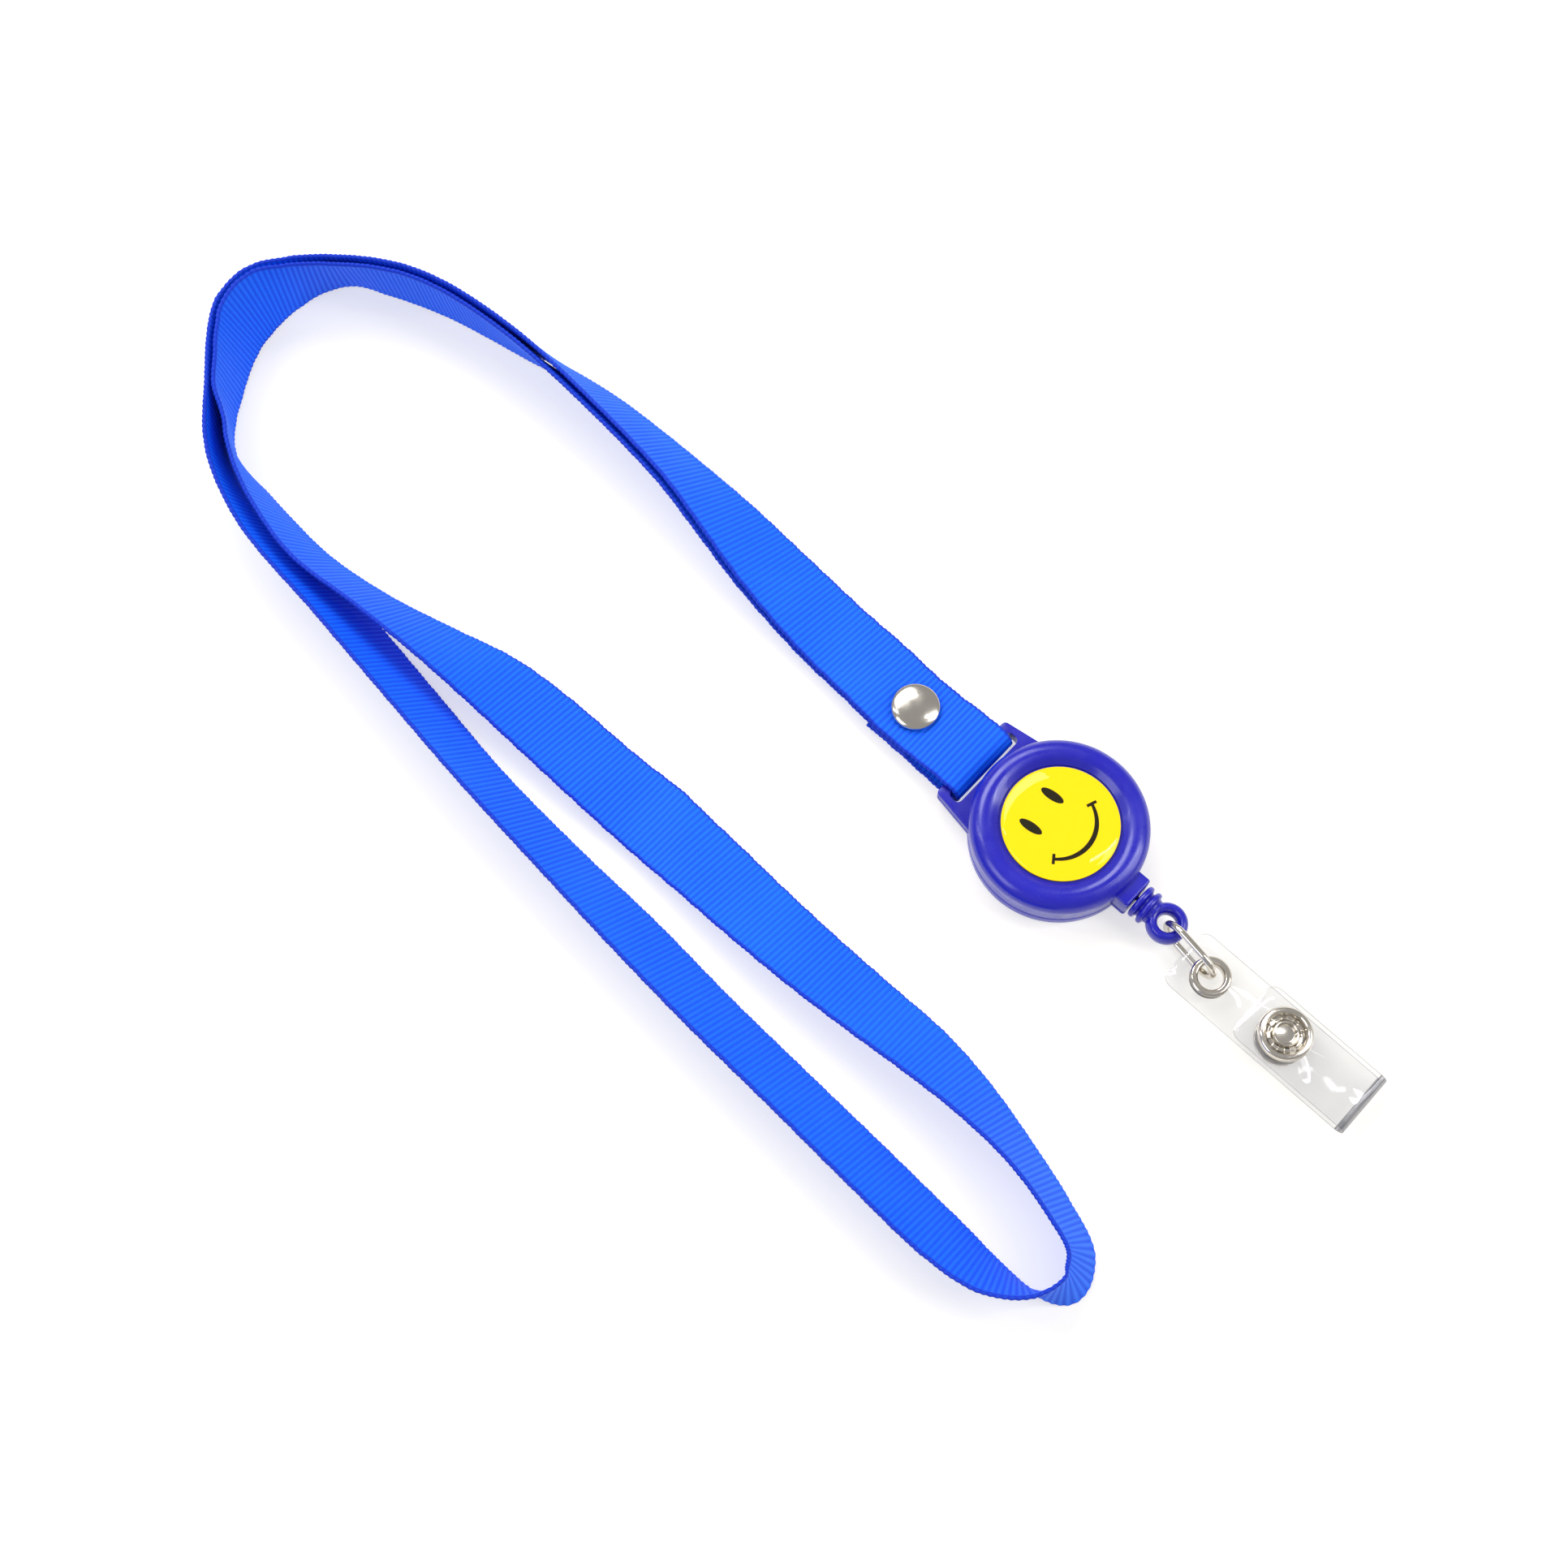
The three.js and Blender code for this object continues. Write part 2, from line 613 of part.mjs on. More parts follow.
const strapCurve = new StrapCurve(strapStations());
strapCurve.plan.arcLengthDivisions = 800;
strapCurve.plan.updateArcLengths();
const STRAP_LENGTH = strapCurve.plan.getLength();

// The free end folded round the slot's bar, held by the rivet: front layer, fold and return.
function slotFold() {
  const half = STRAP.thick / 2;
  const frontAt = 0.55 + STACK_LIFT + STRAP.pitch;
  const backAt = 1.25;
  const top = BAR_Z + FOLD_RADIUS;
  const bottom = BAR_Z - FOLD_RADIUS;
  const outline = new THREE.Shape();
  const front = RIVET.x - 6;
  const back = RIVET.x - 5;
  outline.moveTo(front, frontAt + half);
  outline.lineTo(RIVET.x + 5, frontAt + half);
  outline.lineTo(BAR_X - 4, top + half);
  outline.lineTo(BAR_X, top + half);
  outline.absarc(BAR_X, BAR_Z, FOLD_RADIUS + half, Math.PI / 2, -Math.PI / 2, true);
  outline.lineTo(BAR_X - 4, bottom - half);
  outline.lineTo(RIVET.x + 5, backAt - half);
  outline.lineTo(back, backAt - half);
  outline.lineTo(back, backAt + half);
  outline.lineTo(RIVET.x + 5, backAt + half);
  outline.lineTo(BAR_X - 4, bottom + half);
  outline.lineTo(BAR_X, bottom + half);
  outline.absarc(BAR_X, BAR_Z, FOLD_RADIUS - half, -Math.PI / 2, Math.PI / 2, false);
  outline.lineTo(BAR_X - 4, top - half);
  outline.lineTo(RIVET.x + 5, frontAt - half);
  outline.lineTo(front, frontAt - half);
  return acrossY(outline, STRAP.width / 2, 10).subtract(rivetHole());
}

function rivetHole() {
  return cylinder(RIVET.hole, -1, 9, RIVET.x, SMALL_ROUND);
}

function rivetCap() {
  const base = 0.55 + STACK_LIFT + STRAP.pitch + STRAP.thick / 2 + GAP;
  const profile = [[0, 0.9], [RIVET.shank, 0.9], [RIVET.shank, base], [RIVET.cap, base]];
  const rings = 6;
  for (let i = 0; i <= rings; i++) {
    const angle = ((i / rings) * Math.PI) / 2;
    profile.push([RIVET.cap * Math.cos(angle), base + 0.35 + 1.15 * Math.sin(angle)]);
  }
  profile[profile.length - 1][0] = 0;
  return turned(profile, RIVET.x, 36);
}

function rivetWasher() {
  const top = 0.45;
  return turned([[0, 0], [RIVET.washer - 0.3, 0], [RIVET.washer, 0.2], [RIVET.washer, top], [0, top]],
    RIVET.x, SMALL_ROUND);
}

// Each stretch runs between two numbered stations of the strap.
const LAST_STATION = strapCurve.last;
const SHARED_COUNT = SHARED_ROUTE.length;
const TWIST_STATION = 10;
const STRETCHES = [
  ["webbing_reel_run_front", 0, TWIST_STATION],
  ["webbing_bend_outer", TWIST_STATION, SHARED_COUNT - 1],
  ["webbing_neck_run_left", SHARED_COUNT - 1, SHARED_COUNT + 9],
  ["webbing_neck_end", SHARED_COUNT + 9, SHARED_COUNT + 16],
  ["webbing_neck_run_right", SHARED_COUNT + 16, SHARED_COUNT + NECK_ROUTE.length],
  ["webbing_bend_inner", SHARED_COUNT + NECK_ROUTE.length, LAST_STATION - TWIST_STATION],
  ["webbing_reel_run_back", LAST_STATION - TWIST_STATION, LAST_STATION],
];

function webbing() {
  const made = STRETCHES.map(([name, first, last]) => {
    const from = shareAtStation(strapCurve, first) + GAP / 2 / STRAP_LENGTH;
    const to = shareAtStation(strapCurve, last) - GAP / 2 / STRAP_LENGTH;
    return [name, strapStretch(strapCurve, from, to)];
  });
  const solids = new Map(made);
  const beyondRivet = box([RIVET.x - 6 - GAP, -20, -1], [RIVET.x + 9, 20, 20]);
  const frontRun = solids.get("webbing_reel_run_front").subtract(beyondRivet);
  solids.set("webbing_reel_run_front", frontRun);
  const backRun = solids.get("webbing_reel_run_back").subtract(rivetHole());
  solids.set("webbing_reel_run_back", backRun);
  solids.set("webbing_slot_fold", slotFold());
  return [...solids].map(([name, made]) => piece(name, made, "webbing"));
}

// ---- Assembly ----

// The link lies swung to one side about the bead's eye, and the clear strap hangs on its far end,
// still parallel to the reel's own axis.
const LINK_ANGLE = THREE.MathUtils.degToRad(LINK.swing);
const LINK_REACH = EYELET.x - BEAD.eyeX;

function swung(mesh) {
  mesh.geometry.translate(-BEAD.eyeX, 0, 0).rotateZ(LINK_ANGLE).translate(BEAD.eyeX, 0, 0);
  return mesh;
}

function hung(mesh) {
  mesh.geometry.translate(LINK_REACH * (Math.cos(LINK_ANGLE) - 1), LINK_REACH * Math.sin(LINK_ANGLE), 0);
  return mesh;
}

const group = new THREE.Group();
group.add(
  ...webbing(),
  piece("rivet_cap", rivetCap(), "nickel"),
  piece("rivet_washer", rivetWasher(), "nickel"),
  piece("back_cover", backCover(), "casePlastic"),
  piece("front_cover", frontCover(), "casePlastic"),
  piece("axle_screw", axleScrew(), "nickel"),
  piece("spool", spool(), "whitePlastic"),
  piece("spring_cover", springCover(), "whitePlastic"),
  piece("power_spring", powerSpring(), "springSteel"),
  piece("cord_winding", cordWinding(), "cord"),
  piece("cord_lead", cordLead(), "cord"),
  piece("cord_knot", cordKnot(), "cord"),
  piece("sticker_print", stickerPrint(), "print"),
  piece("resin_dome", resinDome(), "clear"),
  piece("end_bead", endBead(), "casePlastic"),
  swung(piece("wire_link", wireLink(), "nickel")),
  hung(piece("eyelet", eyelet(), "nickel")),
  hung(piece("strap_lower_leaf", lowerLeaf(), "clear")),
  hung(piece("strap_bend", strapBend(), "clear")),
  hung(piece("strap_upper_leaf", upperLeaf(), "clear")),
  hung(piece("snap_ring", snapRing(), "nickel")),
  hung(piece("snap_cup", snapCup(), "nickel")),
  hung(piece("snap_stud", snapStud(), "nickel")),
  hung(piece("snap_base", snapBase(), "nickel")),
);

// The origin is the middle of the assembly's own box, on the table.
const extent = new THREE.Box3().setFromObject(group);
const middle = extent.getCenter(new THREE.Vector3());
group.position.set(-middle.x, -middle.y, -extent.min.z);

export default group;
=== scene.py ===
import logging
import math
from dataclasses import dataclass
from enum import Enum
from typing import Callable, Iterable, Sequence

import bmesh
import bpy
import numpy as np
from mathutils import Matrix, Vector


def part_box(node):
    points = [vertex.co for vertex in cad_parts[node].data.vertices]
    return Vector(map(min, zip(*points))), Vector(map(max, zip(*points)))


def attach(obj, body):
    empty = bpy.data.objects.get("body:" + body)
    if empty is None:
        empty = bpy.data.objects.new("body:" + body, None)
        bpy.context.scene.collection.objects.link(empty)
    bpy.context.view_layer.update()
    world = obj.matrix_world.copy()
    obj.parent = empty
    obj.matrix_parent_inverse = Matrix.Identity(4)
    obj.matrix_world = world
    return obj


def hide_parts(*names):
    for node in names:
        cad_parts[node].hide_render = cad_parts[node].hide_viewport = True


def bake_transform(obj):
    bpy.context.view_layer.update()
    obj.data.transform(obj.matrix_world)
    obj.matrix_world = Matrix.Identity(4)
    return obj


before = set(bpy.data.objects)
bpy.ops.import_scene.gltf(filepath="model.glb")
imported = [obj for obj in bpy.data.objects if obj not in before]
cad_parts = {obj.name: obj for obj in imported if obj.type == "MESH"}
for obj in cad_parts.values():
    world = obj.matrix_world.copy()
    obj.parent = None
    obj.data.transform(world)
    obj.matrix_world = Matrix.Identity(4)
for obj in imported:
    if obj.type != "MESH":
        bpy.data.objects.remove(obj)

log = logging.getLogger("lanyard")
logging.basicConfig(level=logging.INFO, format="%(message)s")

MM = 0.001
FINE = 128
SMALL = 72
Point2 = tuple[float, float]
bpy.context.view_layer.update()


# ---------------------------------------------------------------- shader maths


def srgb(red: int, green: int, blue: int, alpha: float = 1.0) -> tuple[float, float, float, float]:
    """A screen colour from 0 to 255 as the linear colour that shaders take."""

    def linear(value: int) -> float:
        share = value / 255
        return share / 12.92 if share <= 0.04045 else ((share + 0.055) / 1.055) ** 2.4

    return (linear(red), linear(green), linear(blue), alpha)


class Shade:
    """A number on a shader socket, with the usual operators.

    Args:
        tree: the node tree that the maths is added to.
        socket: the output socket that holds the number.
    """

    def __init__(self, tree: bpy.types.NodeTree, socket: bpy.types.NodeSocket) -> None:
        self.tree = tree
        self.socket = socket

    def _math(self, operation: str, *others: "Shade | float") -> "Shade":
        """A Math node over this value and the others."""
        node = self.tree.nodes.new("ShaderNodeMath")
        node.operation = operation
        for place, value in zip(node.inputs, (self, *others)):
            if isinstance(value, Shade):
                self.tree.links.new(value.socket, place)
            else:
                place.default_value = value
        return Shade(self.tree, node.outputs[0])

    def __add__(self, other: "Shade | float") -> "Shade":
        """The sum."""
        return self._math("ADD", other)

    __radd__ = __add__

    def __mul__(self, other: "Shade | float") -> "Shade":
        """The product."""
        return self._math("MULTIPLY", other)

    __rmul__ = __mul__

    def __sub__(self, other: "Shade | float") -> "Shade":
        """The difference."""
        return self._math("SUBTRACT", other)

    def __rsub__(self, other: float) -> "Shade":
        """The reflected difference."""
        return (self * -1.0) + other

    def sine(self) -> "Shade":
        """The sine of an angle in radians."""
        return self._math("SINE")

    def size(self) -> "Shade":
        """The value without its sign."""
        return self._math("ABSOLUTE")

    def step(self, low: float, high: float) -> "Shade":
        """A smooth rise from 0 at low to 1 at high."""
        node = self.tree.nodes.new("ShaderNodeMapRange")
        node.interpolation_type = "SMOOTHSTEP"
        self.tree.links.new(self.socket, node.inputs["Value"])
        node.inputs["From Min"].default_value = low
        node.inputs["From Max"].default_value = high
        return Shade(self.tree, node.outputs["Result"])


class Paint:
    """A material under construction.

    Args:
        name: the material's name.
        settings: values for the Principled shader's own sockets.
    """

    def __init__(self, name: str, **settings: object) -> None:
        self.material = bpy.data.materials.new(name)
        self.material.use_nodes = True
        self.tree = self.material.node_tree
        self.surface = self.tree.nodes["Principled BSDF"]
        for key, value in settings.items():
            self.surface.inputs[key.replace("_", " ")].default_value = value

    def node(self, kind: str, settings: dict[str, object] | None = None, **inputs: object) -> bpy.types.Node:
        """Adds a node.

        Args:
            kind: the node's type.
            settings: properties that are set first.
            inputs: values, sockets or Shades by the socket's name, with _ for a space.

        Returns:
            The new node.
        """
        node = self.tree.nodes.new(kind)
        for key, value in (settings or {}).items():
            setattr(node, key, value)
        for key, value in inputs.items():
            self.feed(node.inputs[key.replace("_", " ")], value)
        return node

    def feed(self, socket: bpy.types.NodeSocket, value: object) -> None:
        """Links or sets one socket."""
        if isinstance(value, Shade):
            self.tree.links.new(value.socket, socket)
        elif isinstance(value, bpy.types.NodeSocket):
            self.tree.links.new(value, socket)
        else:
            socket.default_value = value

    def attribute(self, name: str) -> Shade:
        """A number stored on the mesh."""
        node = self.node("ShaderNodeAttribute", {"attribute_name": name})
        return Shade(self.tree, node.outputs["Fac"])

    def place(self) -> bpy.types.NodeSocket:
        """Object coordinates."""
        return self.node("ShaderNodeTexCoord").outputs["Object"]

    def noise(self, scale: float, detail: float = 3.0, vector: object = None) -> Shade:
        """Noise at a scale in features per metre."""
        where = self.place() if vector is None else vector
        node = self.node("ShaderNodeTexNoise", Vector=where, Scale=scale, Detail=detail)
        return Shade(self.tree, node.outputs[0])

    def mix(self, share: Shade, first: Sequence[float], second: object) -> bpy.types.NodeSocket:
        """A colour between two others."""
        node = self.node("ShaderNodeMix", {"data_type": "RGBA"})
        self.feed(node.inputs[0], share)
        self.feed(node.inputs[6], first)
        self.feed(node.inputs[7], second)
        return node.outputs[2]

    def bump(self, height: Shade, distance: float, strength: float = 1.0) -> None:
        """Feeds the normal from a height."""
        node = self.node("ShaderNodeBump", Height=height, Distance=distance, Strength=strength)
        self.feed(self.surface.inputs["Normal"], node.outputs[0])


# ---------------------------------------------------------------- finishes


@dataclass(frozen=True)
class WovenFinish:
    """Ribbed polyester webbing.

    Attributes:
        pitch: rib spacing in millimetres.
        face: colour on the ribs.
        groove: colour between the ribs, darker as painted shade in the rib recesses.
        edge: painted shade along both edges, where the strap rounds over.
    """

    pitch: float = 1.0
    face: tuple[float, ...] = srgb(8, 110, 250)
    groove: tuple[float, ...] = srgb(2, 76, 226)
    edge: tuple[float, ...] = srgb(10, 34, 178)

    def build(self) -> bpy.types.Material:
        """Returns the webbing material."""
        paint = Paint("webbing_weave", Roughness=0.62, Specular_IOR_Level=0.25)
        run = paint.attribute("run")
        across = paint.attribute("across")
        rib = (run * (2 * math.pi / self.pitch)).sine()
        vector = paint.node("ShaderNodeCombineXYZ", X=run * 2.2, Y=across * 7.5)
        fibre = paint.noise(1.6, 4.0, vector.outputs[0])
        cloud = paint.noise(45.0, 2.0)
        # The ribs mix from the darker groove colour to the face colour: painted shade in the recesses between
        # the ribs.
        shade = paint.mix((rib * 0.5 + 0.5) * 0.85 + (fibre - 0.5) * 0.5, self.groove, self.face)
        worn = paint.mix(cloud.step(0.35, 0.8) * 0.2, shade, srgb(24, 124, 254))
        # A dark band along both edges: painted shade where the strap rounds over.
        edge = across.size().step(0.9, 0.965)
        paint.feed(paint.surface.inputs["Base Color"], paint.mix(edge * 0.8, worn, self.edge))
        paint.feed(paint.surface.inputs["Roughness"], 0.66 - rib * 0.08)
        threads = (across * (2 * math.pi * 17.0) + rib * 0.6).sine()
        paint.bump(threads * 0.4 + fibre, 0.00006, 0.7)
        return paint.material


@dataclass(frozen=True)
class MouldedFinish:
    """Moulded plastic with a fine skin and faint handling marks.

    Attributes:
        name: the material's name.
        colour: the plastic's colour.
        roughness: its mean roughness.
        coat: how much clear gloss lies over it.
    """

    name: str
    colour: tuple[float, ...]
    roughness: float = 0.3
    coat: float = 0.2

    def build(self) -> bpy.types.Material:
        """Returns the plastic material."""
        paint = Paint(self.name, Coat_Weight=self.coat, Coat_Roughness=0.12)
        marks = paint.noise(260.0, 5.0)
        flow = paint.noise(55.0, 2.0)
        lighter = tuple(min(1.0, c * 1.25 + 0.012) for c in self.colour[:3]) + (1.0,)
        paint.feed(paint.surface.inputs["Base Color"],
                   paint.mix(flow.step(0.3, 0.75) * 0.5, self.colour, lighter))
        paint.feed(paint.surface.inputs["Roughness"], marks.step(0.3, 0.75) * 0.16 + (self.roughness - 0.06))
        paint.bump(paint.noise(2600.0, 2.0), 0.000012, 0.35)
        return paint.material


@dataclass(frozen=True)
class MetalFinish:
    """Plated or rolled metal.

    Attributes:
        name: the material's name.
        colour: the metal's colour.
        roughness: its mean roughness.
    """

    name: str
    colour: tuple[float, ...]
    roughness: float = 0.14

    def build(self) -> bpy.types.Material:
        """Returns the metal material."""
        paint = Paint(self.name, Metallic=1.0)
        smear = paint.noise(420.0, 4.0)
        duller = tuple(c * 0.8 for c in self.colour[:3]) + (1.0,)
        paint.feed(paint.surface.inputs["Base Color"],
                   paint.mix(smear.step(0.4, 0.8) * 0.5, self.colour, duller))
        paint.feed(paint.surface.inputs["Roughness"], smear.step(0.3, 0.8) * 0.1 + self.roughness)
        paint.bump(paint.noise(3000.0, 2.0), 0.000006, 0.3)
        return paint.material


@dataclass(frozen=True)
class ClearFinish:
    """Clear plastic: a weak mirror over what is behind it, with a body colour; a darker grey copy of it is
    painted shade where it is seen edge-on.

    Attributes:
        name: the material's name.
        tint: the colour of its body.
        cover: how much of what is behind it is hidden.
        mirror: how much of the cover is a mirror and not body colour.
        streaks: how uneven the surface is, in metres.
    """

    name: str
    tint: tuple[float, ...]
    cover: float
    mirror: float
    streaks: float

    def build(self) -> bpy.types.Material:
        """Returns the clear material."""
        paint = Paint(self.name, Roughness=0.05, Metallic=self.mirror, Alpha=self.cover)
        haze = paint.noise(130.0, 3.0)
        paint.feed(paint.surface.inputs["Base Color"],
                   paint.mix(haze.step(0.3, 0.8) * 0.4, self.tint, (1, 1, 1, 1)))
        if self.streaks:
            stretched = paint.node("ShaderNodeMapping", Vector=paint.place())
            stretched.inputs["Scale"].default_value = (1.0, 0.25, 1.0)
            paint.bump(paint.noise(70.0, 1.0, stretched.outputs[0]), self.streaks, 1.0)
        return paint.material


@dataclass(frozen=True)
class PrintFinish:
    """Printed vinyl, with a slight dot grain.

    Attributes:
        name: the material's name.
        colour: the ink's colour.
    """

    name: str
    colour: tuple[float, ...]

    def build(self) -> bpy.types.Material:
        """Returns the printed material."""
        paint = Paint(self.name, Roughness=0.45, Specular_IOR_Level=0.0)
        grain = paint.noise(1500.0, 2.0)
        deeper = tuple(c * 0.9 for c in self.colour[:3]) + (1.0,)
        paint.feed(paint.surface.inputs["Base Color"],
                   paint.mix(grain.step(0.3, 0.7) * 0.4, self.colour, deeper))
        return paint.material


class Slot(Enum):
    """The finishes of the object, by the record's slot names."""

    WEBBING = "webbing"
    CASE = "case_plastic"
    WHITE = "white_plastic"
    SPRING = "spring_steel"
    NICKEL = "nickel"
    CORD = "cord"
    PRINT = "print"
    RESIN = "resin"
    VINYL = "clear_vinyl"


FINISHES = {
    Slot.WEBBING: WovenFinish(),
    Slot.CASE: MouldedFinish("violet_case", srgb(22, 20, 164), 0.27, 0.15),
    Slot.WHITE: MouldedFinish("white_acetal", srgb(226, 226, 228), 0.45, 0.0),
    Slot.SPRING: MetalFinish("rolled_spring", srgb(150, 150, 156), 0.3),
    Slot.NICKEL: MetalFinish("polished_nickel", srgb(214, 208, 198)),
    Slot.CORD: MouldedFinish("braided_cord", srgb(34, 32, 150), 0.75, 0.0),
    Slot.PRINT: PrintFinish("yellow_print", srgb(252, 216, 0)),
    Slot.RESIN: ClearFinish("clear_resin", (1, 1, 1, 1), 0.022, 1.0, 0.0),
    Slot.VINYL: ClearFinish("soft_vinyl", srgb(206, 206, 210), 0.15, 0.4, 0.0012),
}
MATERIALS = {slot: finish.build() for slot, finish in FINISHES.items()}
BLACK_INK = PrintFinish("black_ink", srgb(30, 26, 2)).build()
# A darker grey copy of the vinyl for its side faces and bend: painted shade of clear plastic seen edge-on.
VINYL_EDGE_SHADE = ClearFinish("soft_vinyl_edge_shade", srgb(120, 120, 126), 0.6, 0.2, 0.0).build()


# ---------------------------------------------------------------- mesh tools


def mesh_object(name: str, points: Iterable, faces: Iterable, sharp: float = 34.0) -> bpy.types.Object:
    """A linked object from points in metres, with its faces out and its hard edges marked.

    Args:
        name: the object's name.
        points: vertices.
        faces: vertex numbers of each face.
        sharp: the angle in degrees past which an edge shows as an edge.

    Returns:
        The object.
    """
    mesh = bpy.data.meshes.new(name)
    mesh.from_pydata([tuple(p) for p in points], [], [tuple(f) for f in faces])
    obj = bpy.data.objects.new(name, mesh)
    bpy.context.scene.collection.objects.link(obj)
    tidy(obj, sharp)
    return obj


def tidy(obj: bpy.types.Object, sharp: float = 34.0) -> None:
    """Merges doubles, turns faces out and marks hard edges."""
    work = bmesh.new()
    work.from_mesh(obj.data)
    bmesh.ops.remove_doubles(work, verts=work.verts, dist=1e-7)
    bmesh.ops.recalc_face_normals(work, faces=work.faces)
    limit = math.radians(sharp)
    for face in work.faces:
        face.smooth = True
    for edge in work.edges:
        edge.smooth = len(edge.link_faces) == 2 and edge.calc_face_angle(0.0) < limit
    work.to_mesh(obj.data)
    work.free()


def bake(obj: bpy.types.Object) -> bpy.types.Object:
    """Turns an object's modifiers into its plain mesh."""
    graph = bpy.context.evaluated_depsgraph_get()
    shaped = bpy.data.meshes.new_from_object(
        obj.evaluated_get(graph), preserve_all_data_layers=True, depsgraph=graph
    )
    obj.modifiers.clear()
    obj.data = shaped
    return obj


def fillet(points: Sequence[Point2], radius: float, steps: int = 5, closed: bool = False) -> list[Point2]:
    """Rounds a polyline's corners.

    Args:
        points: the corners.
        radius: how far from a corner the rounding starts, where the sides allow it.
        steps: points in each rounding.
        closed: whether the last point joins the first.

    Returns:
        The rounded polyline.
    """
    count = len(points)
    made: list[Point2] = []
    for i, here in enumerate(points):
        if not closed and i in (0, count - 1):
            made.append(tuple(here))
            continue
        corner = Vector(here)
        before = Vector(points[i - 1]) - corner
        after = Vector(points[(i + 1) % count]) - corner
        reach = min(radius, before.length * 0.45, after.length * 0.45)
        start = corner + before.normalized() * reach
        end = corner + after.normalized() * reach
        for k in range(steps + 1):
            t = k / steps
            made.append(tuple(start * (1 - t) ** 2 + corner * (2 * t * (1 - t)) + end * t * t))
    return made


def lathe(name: str, profile: Sequence[Point2], centre: Vector, facets: int = FINE,
          sharp: float = 34.0) -> bpy.types.Object:
    """A profile of (radius, height) in millimetres turned about the vertical through centre.

    The profile starts and ends on the axis, or its end joins its start.
    """
    on_axis = profile[0][0] < 1e-6 and profile[-1][0] < 1e-6
    angles = np.linspace(0, 2 * math.pi, facets, endpoint=False)
    points, rings = [], []
    for radius, height in profile:
        if radius < 1e-6:
            rings.append([len(points)])
            points.append((centre.x, centre.y, height * MM))
            continue
        rings.append(list(range(len(points), len(points) + facets)))
        for angle in angles:
            x = centre.x + radius * MM * math.cos(angle)
            y = centre.y + radius * MM * math.sin(angle)
            points.append((x, y, height * MM))
    faces = []
    pairs = list(zip(rings, rings[1:])) + ([] if on_axis else [(rings[-1], rings[0])])
    for a, b in pairs:
        for k in range(facets):
            n = (k + 1) % facets
            if len(a) > 1 and len(b) > 1:
                faces.append((a[k], a[n], b[n], b[k]))
            elif len(a) > 1:
                faces.append((a[k], a[n], b[0]))
            elif len(b) > 1:
                faces.append((a[0], b[n], b[k]))
    return mesh_object(name, points, faces, sharp)


def prism(name: str, outline: Sequence[Point2], low: float, high: float, centre: Vector,
          bevel: float = 0.0) -> bpy.types.Object:
    """A plan outline in millimetres about centre, carried up from low to high, with eased edges."""
    count = len(outline)
    points = [(centre.x + x * MM, centre.y + y * MM, z * MM) for z in (low, high) for x, y in outline]
    faces = [tuple(range(count))[::-1], tuple(range(count, 2 * count))]
    faces += [(k, (k + 1) % count, count + (k + 1) % count, count + k) for k in range(count)]
    obj = mesh_object(name, points, faces)
    if bevel:
        ease(obj, bevel)
    return obj


def ease(obj: bpy.types.Object, width: float, segments: int = 3, angle: float = 50.0) -> None:
    """Bevels an object's hard edges by a width in millimetres."""
    modifier = obj.modifiers.new("ease", "BEVEL")
    modifier.width = width * MM
    modifier.segments = segments
    modifier.limit_method = "ANGLE"
    modifier.angle_limit = math.radians(angle)
    bake(obj)
    tidy(obj)


def combine(base: bpy.types.Object, others: Sequence[bpy.types.Object], operation: str) -> bpy.types.Object:
    """Joins others to base, or cuts them from it, and removes them."""
    for other in others:
        modifier = base.modifiers.new("cut", "BOOLEAN")
        modifier.operation = operation
        modifier.solver = "EXACT"
        modifier.object = other
        bake(base)
        bpy.data.objects.remove(other)
    tidy(base)
    return base


def sweep(name: str, rings: Sequence[Sequence[Vector]], looped: bool = False,
          sharp: float = 34.0) -> bpy.types.Object:
    """A closed skin over rings of points, in metres."""
    sides = len(rings[0])
    points = [p for ring in rings for p in ring]
    faces = []
    for i in range(len(rings) if looped else len(rings) - 1):
        here, there = i * sides, ((i + 1) % len(rings)) * sides
        faces += [(here + k, here + (k + 1) % sides, there + (k + 1) % sides, there + k)
                  for k in range(sides)]
    if not looped:
        faces.append(tuple(range(sides))[::-1])
        faces.append(tuple(range(len(points) - sides, len(points))))
    return mesh_object(name, points, faces, sharp)


def wire(name: str, route: Sequence[Vector], across: Vector, radius: float, sides: int,
         looped: bool) -> bpy.types.Object:
    """Round wire along a flat route whose plane has the normal across; radius in millimetres."""
    rings = []
    count = len(route)
    for i, here in enumerate(route):
        after = route[(i + 1) % count] if looped else route[min(i + 1, count - 1)]
        before = route[i - 1] if looped or i else route[0]
        outward = (after - before).normalized().cross(across)
        turn = [2 * math.pi * k / sides for k in range(sides)]
        rings.append([here + (outward * math.cos(a) + across * math.sin(a)) * radius * MM for a in turn])
    return sweep(name, rings, looped)


def disc_outline(radius: float, facets: int = SMALL, x: float = 0.0, y: float = 0.0) -> list[Point2]:
    """A circle as an outline."""
    return [
        (x + radius * math.cos(2 * math.pi * k / facets), y + radius * math.sin(2 * math.pi * k / facets))
        for k in range(facets)
    ]


def settle(obj: bpy.types.Object, slot: Slot, body: str | None, *nodes: str) -> bpy.types.Object:
    """Dresses a piece, puts it on its body and lets it stand for its CAD nodes.

    Args:
        obj: the piece.
        slot: its finish.
        body: the body it rides on, or None to leave it on no body.
        nodes: the CAD nodes that it stands for.

    Returns:
        The piece.
    """
    if not obj.data.materials:
        obj.data.materials.append(MATERIALS[slot])
    if body:
        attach(obj, body)
    if nodes:
        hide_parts(*nodes)
    log.info("%s: %d faces", obj.name, len(obj.data.polygons))
    return obj


# ---------------------------------------------------------------- geometry nodes


